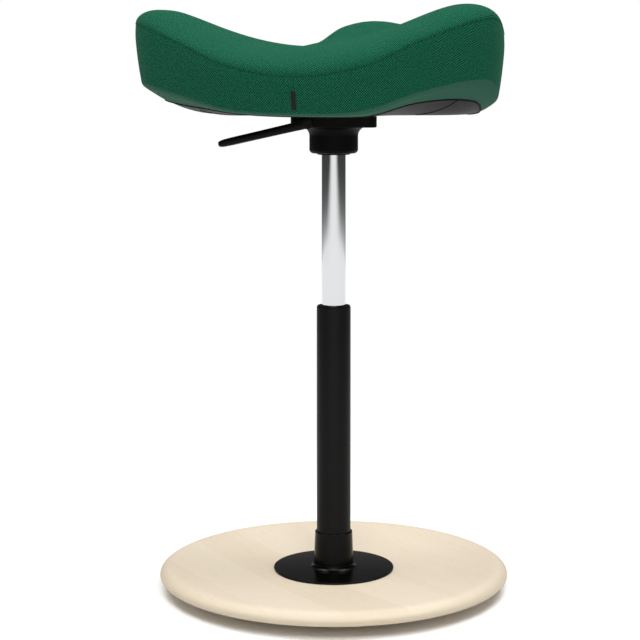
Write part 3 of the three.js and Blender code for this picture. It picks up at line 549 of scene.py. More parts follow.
class Shape:
    """Plain meshes and the work that finishes a mesh."""

    @staticmethod
    def mesh(name: str, points: Sequence, faces: Sequence, edges: Sequence = ()) -> Mesh:
        """Makes a mesh.

        Args:
            name: its name.
            points: its points in metres.
            faces: its faces as point numbers.
            edges: its loose edges as point numbers.

        Returns:
            The mesh.
        """
        made = bpy.data.meshes.new(name)
        made.from_pydata([tuple(p) for p in points], list(edges), [tuple(f) for f in faces])
        return made

    @staticmethod
    def close(mesh: Mesh, sharp: float = 35.0) -> Mesh:
        """Merges doubles, turns the faces outwards and shades smoothly up to an angle.

        Args:
            mesh: the mesh.
            sharp: the angle in degrees past which an edge stays sharp.

        Returns:
            The same mesh.
        """
        work = bmesh.new()
        work.from_mesh(mesh)
        bmesh.ops.remove_doubles(work, verts=work.verts, dist=1e-6)
        bmesh.ops.recalc_face_normals(work, faces=work.faces)
        work.to_mesh(mesh)
        work.free()
        mesh.polygons.foreach_set("use_smooth", [True] * len(mesh.polygons))
        mesh.set_sharp_from_angle(angle=math.radians(sharp))
        return mesh

    @staticmethod
    def piece(name: str, mesh: Mesh, finish: Finish | None = None) -> Piece:
        """Puts a mesh into the scene as a piece.

        Args:
            name: the piece's name.
            mesh: its mesh, in place.
            finish: its finish, where the mesh has none yet.

        Returns:
            The object.
        """
        if finish:
            mesh.materials.clear()
            mesh.materials.append(finish.material())
        made = bpy.data.objects.new(name, mesh)
        bpy.context.scene.collection.objects.link(made)
        return made

    @staticmethod
    def polyline(name: str, points: Sequence, closed: bool = False) -> Mesh:
        """Makes a line of edges.

        Args:
            name: its name.
            points: its points.
            closed: whether the last joins the first.

        Returns:
            The mesh.
        """
        count = len(points)
        edges = [(i, (i + 1) % count) for i in range(count if closed else count - 1)]
        return Shape.mesh(name, points, [], edges)

    @staticmethod
    def prism(outlines: Sequence[Sequence], closed: bool = False) -> Mesh:
        """Joins rings of points of one length into a solid with flat ends.

        Args:
            outlines: the rings.
            closed: whether the last ring joins the first instead of two ends.

        Returns:
            The mesh.
        """
        count, rings = len(outlines[0]), len(outlines)
        points = [p for ring in outlines for p in ring]
        faces = [
            (k * count + i, k * count + (i + 1) % count, (k + 1) % rings * count + (i + 1) % count,
             (k + 1) % rings * count + i)
            for k in range(rings if closed else rings - 1) for i in range(count)]
        if not closed:
            faces += [tuple(range(count)), tuple(range((rings - 1) * count, rings * count))]
        return Shape.close(Shape.mesh("solid", points, faces), 40.0)

    @staticmethod
    def spun(profile: Sequence[Pair], facets: int = 48) -> Mesh:
        """Turns a half outline about Z into a solid.

        Args:
            profile: radius and height pairs, whose first and last rings are closed flat.
            facets: facets around.

        Returns:
            The mesh.
        """
        rings = [
            [(r * math.cos(TURN * i / facets), r * math.sin(TURN * i / facets), z)
             for i in range(facets)]
            for r, z in profile]
        return Shape.prism(rings)

    @staticmethod
    def rod(radius: float, low: float, high: float, facets: int = 48) -> Mesh:
        """A plain round bar along Z."""
        return Shape.spun([(radius, low), (radius, high)], facets)

    @staticmethod
    def moved(mesh: Mesh, matrix: Matrix) -> Mesh:
        """A copy of a mesh, moved by a matrix."""
        copy = mesh.copy()
        copy.transform(matrix)
        return copy

    @staticmethod
    def box(low: Sequence[float], high: Sequence[float]) -> Mesh:
        """A plain box between two corners."""
        ring = [(low[0], low[1]), (high[0], low[1]), (high[0], high[1]), (low[0], high[1])]
        return Shape.prism([[(x, y, z) for x, y in ring] for z in (low[2], high[2])])

    @staticmethod
    def along_y(radius: float, start: float, end: float, x: float, z: float,
                facets: int = 48) -> Mesh:
        """A round bar along Y between two places, with its axis at X and Z."""
        turn = Matrix.Translation((x, 0, z)) @ Matrix.Rotation(-math.pi / 2, 4, "X")
        return Shape.moved(Shape.rod(radius, start, end, facets), turn)

    @staticmethod
    def combined(base: Mesh, others: Sequence[Mesh], operation: str, sharp: float = 30.0) -> Mesh:
        """Joins solids to a base or cuts them from it.

        Args:
            base: the first solid.
            others: the solids that are joined or cut.
            operation: UNION or DIFFERENCE.
            sharp: the angle in degrees past which an edge stays sharp.

        Returns:
            The new mesh.
        """
        holder = Shape.piece("work_base", base)
        tools = [Shape.piece("work_tool", other) for other in others]
        for tool in tools:
            modifier = holder.modifiers.new("solid", "BOOLEAN")
            modifier.operation, modifier.solver, modifier.object = operation, "EXACT", tool
        made = Shape.baked(holder)
        for tool in tools:
            bpy.data.objects.remove(tool)
        return Shape.close(made, sharp)

    @staticmethod
    def baked(holder: Piece) -> Mesh:
        """Takes the evaluated mesh of a working object and removes the object.

        Args:
            holder: the working object with its modifiers.

        Returns:
            The plain mesh.
        """
        graph = bpy.context.evaluated_depsgraph_get()
        made = bpy.data.meshes.new_from_object(holder.evaluated_get(graph))
        bpy.data.objects.remove(holder)
        return made


class Tool:
    """A geometry tree with named inputs for its sizes, run on a source mesh."""

    def __init__(self, name: str, inputs: dict[str, str],
                 build: Callable[[Graph, dict], Socket]) -> None:
        """Builds the tree.

        Args:
            name: the tree's name.
            inputs: the kind of each named input.
            build: links the tree from its inputs and returns the geometry.
        """
        self.name = name
        self.tree = bpy.data.node_groups.new(name, "GeometryNodeTree")
        face = self.tree.interface
        face.new_socket(name="Source", in_out="INPUT", socket_type="NodeSocketGeometry")
        face.new_socket(name="Finish", in_out="INPUT", socket_type="NodeSocketMaterial")
        for label, kind in inputs.items():
            face.new_socket(name=label, in_out="INPUT", socket_type=f"NodeSocket{kind}")
        face.new_socket(name="Result", in_out="OUTPUT", socket_type="NodeSocketGeometry")
        graph = Graph(self.tree)
        entry = graph.add("NodeGroupInput")
        shape = build(graph, {socket.name: socket for socket in entry.outputs if socket.name})
        whole = graph.add("GeometryNodeRealizeInstances", {0: shape}).outputs[0]
        painted = graph.add("GeometryNodeSetMaterial",
                            {"Geometry": whole, "Material": entry.outputs["Finish"]})
        graph.add("NodeGroupOutput", {0: painted.outputs[0]})

    def run(self, name: str, source: Mesh, finish: Finish, sharp: float = 35.0,
            **values: float) -> Piece:
        """Runs the tree on a mesh.

        Args:
            name: the new piece's name.
            source: the mesh that it starts from.
            finish: the piece's finish.
            sharp: the angle in degrees past which an edge stays sharp.
            **values: the named inputs.

        Returns:
            The piece as a plain mesh object.
        """
        holder = Shape.piece("work_" + name, source)
        modifier = holder.modifiers.new("tree", "NODES")
        modifier.node_group = self.tree
        for item in self.tree.interface.items_tree:
            if item.item_type == "SOCKET" and item.in_out == "INPUT":
                if item.name == "Finish":
                    modifier[item.identifier] = finish.material()
                elif item.name in values:
                    modifier[item.identifier] = values[item.name]
        return Shape.piece(name, Shape.close(Shape.baked(holder), sharp))


class Workshop:
    """The geometry trees that the stool's classes share."""

    def __init__(self) -> None:
        """Builds the trees."""
        self.lathe = Tool("lathe", {"Facets": "Int", "Rows": "Int"}, self._lathe)
        sizes = {"Across": "Float", "Deep": "Float", "Count": "Int", "Turn": "Float"}
        self.circle, self.rectangle = (
            Tool(f"fastener_{layout.value}", sizes, partial(self._fasteners, layout=layout))
            for layout in Layout)
        self.stitching = Tool("stitching",
                              {"Pitch": "Float", "Length": "Float", "Thickness": "Float"},
                              self._stitches)
        self.cording = Tool("cording", {"Pitch": "Float", "Thickness": "Float"}, self._cording)

    @staticmethod
    def _lathe(graph: Graph, inputs: dict) -> Socket:
        """Turns a profile of radius and height about Z.

        Args:
            graph: the tree's nodes.
            inputs: its inputs by name.

        Returns:
            The turned mesh.
        """
        around = graph.plus(inputs["Facets"], 1.0)
        sheet = graph.add(
            "GeometryNodeMeshGrid",
            {"Size X": 1.0, "Size Y": 1.0, "Vertices X": around, "Vertices Y": inputs["Rows"]})
        place = graph.add("GeometryNodeInputPosition").outputs[0]
        parts = graph.parts(place)
        angle = graph.times(graph.plus(parts[0], 0.5), TURN)
        last = graph.math("SUBTRACT", inputs["Rows"], 1.0)
        row = graph.math("ROUND", graph.times(graph.plus(parts[1], 0.5), last))
        point = graph.add("GeometryNodeSampleIndex", data_type="FLOAT_VECTOR", domain="POINT")
        graph.feed(point, {"Geometry": inputs["Source"], "Value": place, "Index": row})
        turned = graph.add("ShaderNodeVectorRotate", {"Vector": point.outputs[0], "Angle": angle},
                           rotation_type="Z_AXIS")
        shaped = graph.add("GeometryNodeSetPosition",
                           {"Geometry": sheet.outputs["Mesh"], "Position": turned.outputs[0]})
        return graph.add("GeometryNodeMergeByDistance",
                         {"Geometry": shaped.outputs[0], "Distance": 1e-6}).outputs[0]

    @staticmethod
    def _fasteners(graph: Graph, inputs: dict, layout: Layout) -> Socket:
        """Repeats one fastener round a circle or at the corners of a rectangle.

        Args:
            graph: the tree's nodes.
            inputs: its inputs by name.
            layout: the layout.

        Returns:
            The instances.
        """
        if layout is Layout.CIRCLE:
            places = graph.add("GeometryNodeMeshCircle",
                               {"Vertices": inputs["Count"], "Radius": inputs["Across"]})
        else:
            size = {"Size X": inputs["Across"], "Size Y": inputs["Deep"], "Vertices X": 2,
                    "Vertices Y": 2}
            places = graph.add("GeometryNodeMeshGrid", size)
        spin = graph.add("ShaderNodeCombineXYZ", {2: inputs["Turn"]}).outputs[0]
        laid = graph.add("GeometryNodeTransform",
                         {"Geometry": places.outputs[0], "Rotation": spin}).outputs[0]
        points = graph.add("GeometryNodeMeshToPoints", {"Mesh": laid}).outputs[0]
        return graph.add("GeometryNodeInstanceOnPoints",
                         {"Points": points, "Instance": inputs["Source"]}).outputs[0]

    @staticmethod
    def _evened(graph: Graph, inputs: dict) -> Socket:
        """Gives a line points at one pitch.

        Args:
            graph: the tree's nodes.
            inputs: its inputs by name.

        Returns:
            The curve.
        """
        line = graph.add("GeometryNodeMeshToCurve", {"Mesh": inputs["Source"]}).outputs[0]
        pitch = {"Curve": line, "Length": inputs["Pitch"]}
        return graph.add("GeometryNodeResampleCurve", pitch, mode="LENGTH").outputs[0]

    @staticmethod
    def _stitches(graph: Graph, inputs: dict) -> Socket:
        """Lays short stitches end to end along a line.

        Args:
            graph: the tree's nodes.
            inputs: its inputs by name.

        Returns:
            The instances.
        """
        even = Workshop._evened(graph, inputs)
        along = graph.add("GeometryNodeInputTangent").outputs[0]
        facing = graph.add("FunctionNodeAlignRotationToVector", {"Vector": along},
                           axis="X").outputs[0]
        bead = graph.add("GeometryNodeMeshUVSphere",
                         {"Segments": 6, "Rings": 5, "Radius": 0.5}).outputs[0]
        size = graph.add("ShaderNodeCombineXYZ",
                         {0: inputs["Length"], 1: inputs["Thickness"], 2: inputs["Thickness"]})
        values = {"Points": even, "Instance": bead, "Rotation": facing, "Scale": size.outputs[0]}
        return graph.add("GeometryNodeInstanceOnPoints", values).outputs[0]

    @staticmethod
    def _cording(graph: Graph, inputs: dict) -> Socket:
        """Runs a round cord along a line.

        Args:
            graph: the tree's nodes.
            inputs: its inputs by name.

        Returns:
            The swept mesh.
        """
        even = Workshop._evened(graph, inputs)
        size = {"Resolution": 6, "Radius": graph.times(inputs["Thickness"], 0.5)}
        ring = graph.add("GeometryNodeCurvePrimitiveCircle", size).outputs[0]
        swept = {"Curve": even, "Profile Curve": ring, "Fill Caps": True}
        return graph.add("GeometryNodeCurveToMesh", swept).outputs[0]

    def turned(self, name: str, profile: Sequence[Pair], finish: Finish, facets: int = 128,
               closed: bool = False) -> Piece:
        """Turns a profile about the column's axis.

        Args:
            name: the piece's name.
            profile: radius and height pairs.
            finish: its finish.
            facets: facets around.
            closed: whether the profile is a ring of its own, clear of the axis.

        Returns:
            The piece.
        """
        pairs = [*profile, profile[0]] if closed else list(profile)
        source = Shape.polyline(name, [(r, 0, z) for r, z in pairs])
        return self.lathe.run(name, source, finish, Facets=facets, Rows=len(pairs))

    def at_corners(self, name: str, source: Mesh, finish: Finish) -> Piece:
        """Repeats a fastener at the four bolts that carry the seat."""
        across, deep = BOLT_SPAN
        return self.rectangle.run(name, source, finish, Across=across, Deep=deep, Turn=0.0)


def arc(centre: Pair, half: Pair, start: float, end: float, steps: int) -> list[Pair]:
    """Points of an ellipse's arc between two angles in degrees, both ends included."""
    angles = [math.radians(start + (end - start) * i / steps) for i in range(steps + 1)]
    return [(centre[0] + half[0] * math.cos(a), centre[1] + half[1] * math.sin(a)) for a in angles]


def numbered(stem: str, count: int) -> list[str]:
    """The names of CAD nodes that are numbered from 1."""
    return [f"{stem}_{i}" for i in range(1, count + 1)]


def enlist(piece: Piece, body: str, slot: str, *nodes: str) -> Piece:
    """Makes a piece ride on a body and hides the CAD nodes that it stands for.

    Args:
        piece: the piece.
        body: its CAD body.
        slot: its material slot; not used.
        *nodes: the CAD nodes that it replaces.

    Returns:
        The piece.
    """
    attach(piece, body)
    if nodes:
        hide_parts(*nodes)
    LOG.info("%s on %s: %d faces", piece.name, body, len(piece.data.polygons))
    return piece


@dataclass(frozen=True)
class Lamp:
    """A large square lamp that faces the stool."""

    name: str
    place: Triple
    size: float
    power: float
    aim: float = 0.3

    def hang(self) -> None:
        """Hangs the lamp and turns it to the stool."""
        data = bpy.data.lights.new(self.name, "AREA")
        data.shape, data.size, data.energy = "SQUARE", self.size, self.power
        made = bpy.data.objects.new(self.name, data)
        made.location = self.place
        way = Vector((0, 0, self.aim)) - Vector(self.place)
        made.rotation_euler = way.to_track_quat("-Z", "Y").to_euler()
        bpy.context.scene.collection.objects.link(made)


@dataclass
class Studio:
    """Camera, floor, lamps and the dark screen that polished metal mirrors."""

    eye: Triple = (0.0, -2.055, 0.613)
    tilt: float = 86.5
    lens: float = 98.89
    sensor: float = 36.0
    shift: Pair = (-0.0214, -0.2258)
    sky: float = 0.42
    horizon: float = 0.2
    horizon_high: float = 0.7
    lamps: tuple[Lamp, ...] = (
        Lamp("left", (-2.0, 0.1, 5.0), 2.7, 122.0), Lamp("right", (2.0, 0.1, 5.0), 2.7, 134.0),
        Lamp("front", (0.1, -2.3, 3.3), 1.8, 48.0))
    floor_half: float = 8.0
    floor_tones: Pair = (0.82, 1.08)
    floor_mottle: Pair = (3.0, 0.02)
    white_span: Pair = (0.32, 0.8)
    screen_radius: float = 3.0
    screen_high: float = 3.0
    screen_points: int = 65
    screen_start: float = 12.0
    screen_ends: Pair = (95.0, -130.0)
    screen_least: float = 45.0
    screen_levels: Pair = (0.05, 0.77)
    screen_drop: float = 0.1
    screen_power: float = 1.15
    screen_behind: Pair = (135.0, 165.0)
    screen_back: float = 0.09

    def camera(self) -> None:
        """Places the camera at the photograph's viewing angle."""
        data = bpy.data.cameras.new("view")
        data.lens, data.sensor_width = self.lens, self.sensor
        data.shift_x, data.shift_y = self.shift
        made = bpy.data.objects.new("view", data)
        made.location = self.eye
        made.rotation_euler = (math.radians(self.tilt), 0, 0)
        bpy.context.scene.collection.objects.link(made)
        bpy.context.scene.camera = made

    def surroundings(self) -> None:
        """Lights the world softly, and shows it white to the camera and to mirrors."""
        scene = bpy.context.scene
        scene.view_settings.view_transform = "Standard"
        world = bpy.data.worlds.new("room")
        graph = Graph.fresh(world)
        path = graph.add("ShaderNodeLightPath").outputs
        seen = graph.math("MAXIMUM", path["Is Camera Ray"], path["Is Transmission Ray"])
        seen = graph.math("MAXIMUM", seen, path["Is Glossy Ray"])
        height = graph.parts(graph.add("ShaderNodeTexCoord").outputs["Generated"])[2]
        sky = graph.times(graph.span(height, self.horizon, 1.0, 0.0, self.horizon_high), self.sky)
        light = {"Color": WHITE, "Strength": graph.math("MAXIMUM", seen, sky)}
        graph.add("ShaderNodeOutputWorld", {0: graph.add("ShaderNodeBackground", light).outputs[0]})
        scene.world = world

    @staticmethod
    def matter(name: str) -> tuple[bpy.types.Material, Graph]:
        """An empty material for the studio, with its nodes."""
        material = bpy.data.materials.new(name)
        return material, Graph.fresh(material)

    def floor(self) -> None:
        """Lays a plain pale floor that keeps the stool's shadow and turns white away from it."""
        half = self.floor_half
        corners = [(x * half, y * half, 0) for x, y in ((-1, -1), (1, -1), (1, 1), (-1, 1))]
        mesh = Shape.mesh("floor", corners, [(0, 1, 2, 3)])
        material, graph = self.matter("pale_floor")
        place = graph.place()
        path = graph.add("ShaderNodeLightPath").outputs
        seen = graph.math("MAXIMUM", path["Is Camera Ray"], path["Is Glossy Ray"])
        tone = graph.span(path["Is Camera Ray"], *self.floor_tones)
        scale, share = self.floor_mottle
        level = graph.plus(tone, graph.times(graph.noise(place, scale), share))
        near = graph.add("ShaderNodeBsdfDiffuse", {"Color": level}).outputs[0]
        white = graph.add("ShaderNodeEmission", {"Color": WHITE, "Strength": 1.0}).outputs[0]
        away = graph.add("ShaderNodeVectorMath", {0: place}, operation="LENGTH").outputs["Value"]
        away = graph.times(graph.span(away, 0.0, 1.0, *self.white_span), seen)
        mixed = graph.add("ShaderNodeMixShader", {0: away, 1: near, 2: white}).outputs[0]
        below = graph.add("ShaderNodeNewGeometry").outputs["Backfacing"]
        clear = graph.add("ShaderNodeBsdfTransparent").outputs[0]
        shown = graph.add("ShaderNodeMixShader", {0: below, 1: mixed, 2: clear}).outputs[0]
        graph.add("ShaderNodeOutputMaterial", {0: shown})
        mesh.materials.append(material)
        Shape.piece("floor", mesh)

    def screen(self) -> None:
        """Stands a dark screen round the stool, which only mirror-like surfaces see."""
        material, graph = self.matter("dark_screen")
        parts = graph.parts(graph.place())
        turn = graph.math("ARCTAN2", graph.math("ABSOLUTE", parts[0]), graph.times(parts[1], -1.0))
        low, slope = (math.radians(angle) for angle in self.screen_ends)
        end = graph.plus(graph.times(parts[2], slope), low)
        end = graph.math("MAXIMUM", end, math.radians(self.screen_least))
        start = math.radians(self.screen_start)
        aside = graph.span(turn, 0.0, 1.0, start, end, interpolation_type="SMOOTHSTEP")
        drop = graph.math("POWER", graph.math("DIVIDE", parts[2], self.screen_drop),
                          self.screen_power)
        dark = graph.span(graph.math("EXPONENT", graph.times(drop, -1.0)), *self.screen_levels)
        back = (math.radians(angle) for angle in self.screen_behind)
        dark = graph.plus(dark, graph.span(turn, 0.0, self.screen_back, *back))
        lost = graph.times(aside, graph.math("SUBTRACT", 1.0, dark))
        level = graph.math("SUBTRACT", 1.0, lost)
        glow = graph.add("ShaderNodeEmission", {"Color": WHITE, "Strength": level}).outputs[0]
        graph.add("ShaderNodeOutputMaterial", {0: glow})
        angles = np.radians(np.linspace(
            -90 + self.screen_start, 270 - self.screen_start, self.screen_points))
        points = [(self.screen_radius * math.cos(a), self.screen_radius * math.sin(a), z)
                  for z in (0.0, self.screen_high) for a in angles]
        count = len(angles)
        mesh = Shape.mesh("dark_screen", points,
                          [(i, i + 1, count + i + 1, count + i) for i in range(count - 1)])
        mesh.materials.append(material)
        screen = Shape.piece("dark_screen", mesh)
        for ray in ("camera", "diffuse", "transmission", "volume_scatter", "shadow"):
            setattr(screen, "visible_" + ray, False)

    def build(self) -> None:
        """Sets the whole studio up."""
        self.camera()
        self.surroundings()
        for lamp in self.lamps:
            lamp.hang()
        self.floor()
        self.screen()


@dataclass
class Base:
    """Rocker pad, dished disc, flange with its collar and studs, and their fasteners."""

    palette: Palette
    shop: Workshop
    pad_thickness: float = 0.0068
    pad_radius: float = 0.120
    pad_flat: float = 0.075
    pad_rise: float = 0.0046
    pad_gap: float = 0.00025
    pad_pocket: tuple[Pair, ...] = (
        (0.0049, -0.001), (0.0049, 0.0011), (0.0025, 0.0036), (0.0025, 0.012))
    disc_radius: float = 0.205
    disc_thickness: float = 0.014
    disc_flat: float = 0.077
    dish_rise: float = 0.0067
    dish_power: float = 1.7
    top_round: Pair = (0.017, 0.0085)
    low_round: Pair = (0.007, 0.005)
    bore: Pair = (0.010, 0.007)
    flange_radius: float = 0.0709
    flange_thickness: float = 0.0024
    flange_bore: float = 0.011
    flange_edge: float = 0.0007
    flange_foot: float = 0.0002
    collar_foot: float = 0.0234
    collar_top: float = 0.02205
    collar_height: float = 0.0428
    collar_bore: float = 0.0202
    collar_edge: float = 0.001
    fillet: float = 0.0055
    stud_circle: float = 0.052
    stud_radius: float = 0.004
    stud_edge: float = 0.0006
    stud_ends: Triple = (0.0072, 0.0078, 0.0005)
    hole_play: Pair = (0.0005, 0.0002)
    washer: Pair = (0.0088, 0.0016)
    nut: Pair = (0.0075, 0.005)
    nut_edge: Pair = (0.0008, 0.0006)
    screw_circle: float = 0.061
    screw_head: Pair = (0.0044, 0.0025)
    screw_low: float = 0.0011
    screw_shank: tuple[Pair, ...] = ((0.002, 0.014), (0.0004, 0.016))
    screw_slot: Triple = (0.0026, 0.0005, 0.0012)

    def dish(self, radius: float) -> float:
        """Height by which the dish has risen at a radius."""
        end = self.disc_radius - self.top_round[0]
        share = max(0.0, (radius - self.disc_flat) / (end - self.disc_flat))
        return self.dish_rise * share ** self.dish_power

    def copies(self, source: Mesh, circle: float, count: int, turn: float) -> list[Mesh]:
        """Copies of a solid round a circle.

        Args:
            source: the solid, on the axis.
            circle: the circle's radius.
            count: how many there are.
            turn: angle of the first, in radians.

        Returns:
            The copies.
        """
        angles = [turn + TURN * i / count for i in range(count)]
        places = [Matrix.Translation((circle * math.cos(a), circle * math.sin(a), 0))
                  for a in angles]
        return [Shape.moved(source, place) for place in places]

    def disc(self) -> None:
        """Turns the wooden disc and cuts its bores."""
        low, top = self.pad_thickness, self.pad_thickness + self.disc_thickness
        end = self.disc_radius - self.top_round[0]
        radii = [self.disc_flat + (end - self.disc_flat) * i / 16 for i in range(17)]
        rise = self.dish(end)
        low_end = self.disc_radius - self.low_round[0]
        profile = [(0, low), *((r, low + self.dish(r)) for r in radii)]
        profile += arc((low_end, low + rise + self.low_round[1]), self.low_round, -90, 0, 8)
        profile += arc((end, top + rise - self.top_round[1]), self.top_round, 0, 90, 14)
        profile += [*((r, top + self.dish(r)) for r in reversed(radii[:-1])), (0, top)]
        made = self.shop.turned("wooden_disc", profile, self.palette.birch, 192)
        bore_top = low + self.bore[1]
        sources = (Shape.rod(self.bore[0], 0, bore_top),
                   Shape.rod(self.stud_radius + self.hole_play[0], 0, 0.03))
        cutters = [cut for source in sources
                   for cut in self.copies(source, self.stud_circle, 4, TURN / 8)]
        made.data = Shape.combined(made.data.copy(), cutters, "DIFFERENCE", 32.0)
        enlist(made, "base", "birch_wood", "base_disc")

    def pad(self) -> None:
        """Turns the rubber pad and cuts its screw pockets."""
        radii = [self.pad_flat + (self.pad_radius - self.pad_flat) * i / 10 for i in range(11)]
        spread = self.pad_radius - self.pad_flat
        under = [(r, self.pad_rise * ((r - self.pad_flat) / spread) ** 2) for r in radii]
        over = [(r, self.pad_thickness + self.dish(r) - self.pad_gap) for r in reversed(radii)]
        profile = [(0, 0), (self.pad_flat * 0.5, 0), *under, *over]
        profile += [(self.pad_flat * 0.99, self.pad_thickness), (0, self.pad_thickness)]
        made = self.shop.turned("rubber_pad", profile, self.palette.rubber, 160)
        cutters = self.copies(Shape.spun(self.pad_pocket), self.screw_circle, 3, 0)
        made.data = Shape.combined(made.data.copy(), cutters, "DIFFERENCE", 32.0)
        enlist(made, "base", "black_rubber", "rocker_pad")

    def flange(self) -> None:
        """Turns the flange and its tapered collar in one piece, with welded studs below."""
        low = self.pad_thickness + self.disc_thickness
        top = low + self.flange_thickness
        rim = top + self.collar_height
        edge, bore = self.flange_edge, self.flange_bore
        profile = [(bore, low), (self.flange_radius - self.flange_foot, low)]
        profile += arc((self.flange_radius - edge, top - edge), (edge, edge), 0, 90, 5)
        centre = (self.collar_foot + self.fillet, top + self.fillet)
        profile += arc(centre, (self.fillet, self.fillet), -90, -180, 12)
        edge = self.collar_edge
        profile += arc((self.collar_top - edge, rim - edge), (edge, edge), 0, 90, 6)
        profile += [(self.collar_bore, rim), (self.collar_bore, top), (bore, top)]
        made = self.shop.turned("flange_collar", profile, self.palette.paint, 160, True)
        end, start, sunk = self.stud_ends
        outline = ((self.stud_radius - self.stud_edge, end), (self.stud_radius, start),
                   (self.stud_radius, top - sunk))
        studs = self.shop.circle.run("welded_studs", Shape.spun(outline, 32), self.palette.zinc,
                                     Across=self.stud_circle, Count=4, Turn=TURN / 8)
        enlist(studs, "base", "zinc_steel")
        enlist(made, "base", "black_paint", "base_flange")

    def fasteners(self) -> None:
        """Repeats nuts, washers and pad screws round their circles."""
        nut_high = self.pad_thickness + self.bore[1] - self.washer[1]
        nut_low = nut_high - self.nut[1]
        corner, inner = self.nut[0], self.stud_radius + self.hole_play[1]
        inset, rise = self.nut_edge
        body = Shape.spun([(corner - inset, nut_low), (corner, nut_low + rise),
                           (corner, nut_high - rise), (corner - inset, nut_high)], 6)
        hole = Shape.rod(inner, nut_low - 0.01, nut_high + 0.01, 32)
        nut = Shape.combined(body, [hole], "DIFFERENCE")
        ring = Shape.spun([(self.washer[0], nut_high), (self.washer[0], nut_high + self.washer[1])],
                          40)
        washer = Shape.combined(ring, [Shape.rod(inner, 0, 0.03, 32)], "DIFFERENCE")
        low, (wide, deep) = self.screw_low, self.screw_head
        (shank, length), (tip, end) = self.screw_shank
        head = Shape.spun(
            [(wide, low), (shank, low + deep), (shank, low + length), (tip, low + end)], 32)
        half, thin, tall = self.screw_slot
        slots = [Shape.box((-x, -y, 0), (x, y, low + tall))
                 for x, y in ((half, thin), (thin, half))]
        screw = Shape.combined(head, slots, "DIFFERENCE")
        for name, source, circle, count, turn, node in (
                ("stud_nuts", nut, self.stud_circle, 4, TURN / 8, "base_nut"),
                ("stud_washers", washer, self.stud_circle, 4, TURN / 8, "base_washer"),
                ("pad_screws", screw, self.screw_circle, 3, 0.0, "pad_screw")):
            made = self.shop.circle.run(name, source, self.palette.zinc, Across=circle, Count=count,
                                        Turn=turn)
            enlist(made, "base", "zinc_steel", *numbered(node, count))

    def build(self) -> None:
        """Builds every piece of the base."""
        self.disc()
        self.pad()
        self.flange()
        self.fasteners()


@dataclass
class Lift:
    """Outer tube, guide sleeve, chrome pressure tube, and the rod, bearing and valve inside."""

    palette: Palette
    shop: Workshop
    outer_low: float = 0.0232
    outer_high: float = 0.3328
    outer_radius: float = 0.020
    outer_bore: float = 0.018
    outer_edge: float = 0.0006
    web: Pair = (0.0063, 0.0038)
    web_bore: float = 0.0054
    sleeve_rim: float = 0.0194
    sleeve_rim_height: float = 0.0018
    sleeve_edge: float = 0.0009
    sleeve_length: float = 0.120
    sleeve_play: Pair = (0.0003, 0.0002)
    mouth: float = 0.0006
    tube_radius: float = 0.014
    tube_bore: float = 0.0126
    tube_foot: float = 0.009
    tube_edge: float = 0.001
    tube_wall: float = 0.0015
    tube_low: float = 0.2250
    tube_taper: Pair = (0.512, 0.0005)
    tube_high: float = 0.5395
    steel: tuple[str, ...] = ("race_lower", "ball_cage", "race_upper", "piston_rod", "rod_clip",
                              "piston", "piston_nut", "valve_pin")
    rubbery: tuple[str, ...] = ("stop_buffer", "piston_seal", "rod_seal")
    brassy: tuple[str, ...] = ("rod_guide", "valve_body")

    def outer(self) -> None:
        """Turns the painted outer tube and its guide sleeve."""
        low, high = self.outer_low, self.outer_high
        radius, bore = self.outer_radius, self.outer_bore
        edge, (web_high, web_low) = self.outer_edge, self.web
        profile = [(bore, low), (radius, low),
                   *arc((radius - edge, high - edge), (edge, edge), 0, 90, 5)]
        profile += [(bore, high), (bore, low + web_high), (self.web_bore, low + web_high)]
        profile += [(self.web_bore, low + web_low), (bore, low + web_low)]
        tube = self.shop.turned("outer_tube_body", profile, self.palette.satin, 128, True)
        enlist(tube, "base", "black_paint", "outer_tube")
        edge, top, rim = self.sleeve_edge, high + self.sleeve_rim_height, self.sleeve_rim
        inner, outer = self.tube_radius + self.sleeve_play[0], bore - self.sleeve_play[1]
        low = high - self.sleeve_length
        profile = [(inner, low), (outer, low), (outer, high), (rim, high)]
        profile += arc((rim - edge, top - edge), (edge, edge), 0, 90, 5)
        profile += [(inner + self.mouth, top), (inner, top - self.mouth)]
        sleeve = self.shop.turned("guide_sleeve_body", profile, self.palette.moulding, 128, True)
        enlist(sleeve, "base", "black_plastic", "guide_sleeve")

    def tube(self) -> None:
        """Turns the chrome pressure tube."""
        low, high, radius, bore = self.tube_low, self.tube_high, self.tube_radius, self.tube_bore
        edge, foot, (taper, inset) = self.tube_edge, self.tube_foot, self.tube_taper
        profile = [(foot, low), *arc((radius - edge, low + edge), (edge, edge), -90, 0, 5),
                   (radius, taper)]
        profile += [(radius - inset, high), (bore, high), (bore, low + self.tube_wall),
                    (foot, low + self.tube_wall)]
        made = self.shop.turned("chrome_tube_body", profile, self.palette.chrome, 192, True)
        enlist(made, "column", "chrome_tube", "pressure_tube")

    def build(self, nodes: Nodes) -> None:
        """Builds the tubes and dresses what is inside them.

        Args:
            nodes: the CAD nodes by name.
        """
        self.outer()
        self.tube()
        Node.dress(nodes, self.steel, self.palette.zinc)
        Node.dress(nodes, self.rubbery, self.palette.rubber)
        Node.dress(nodes, self.brassy, self.palette.brass)


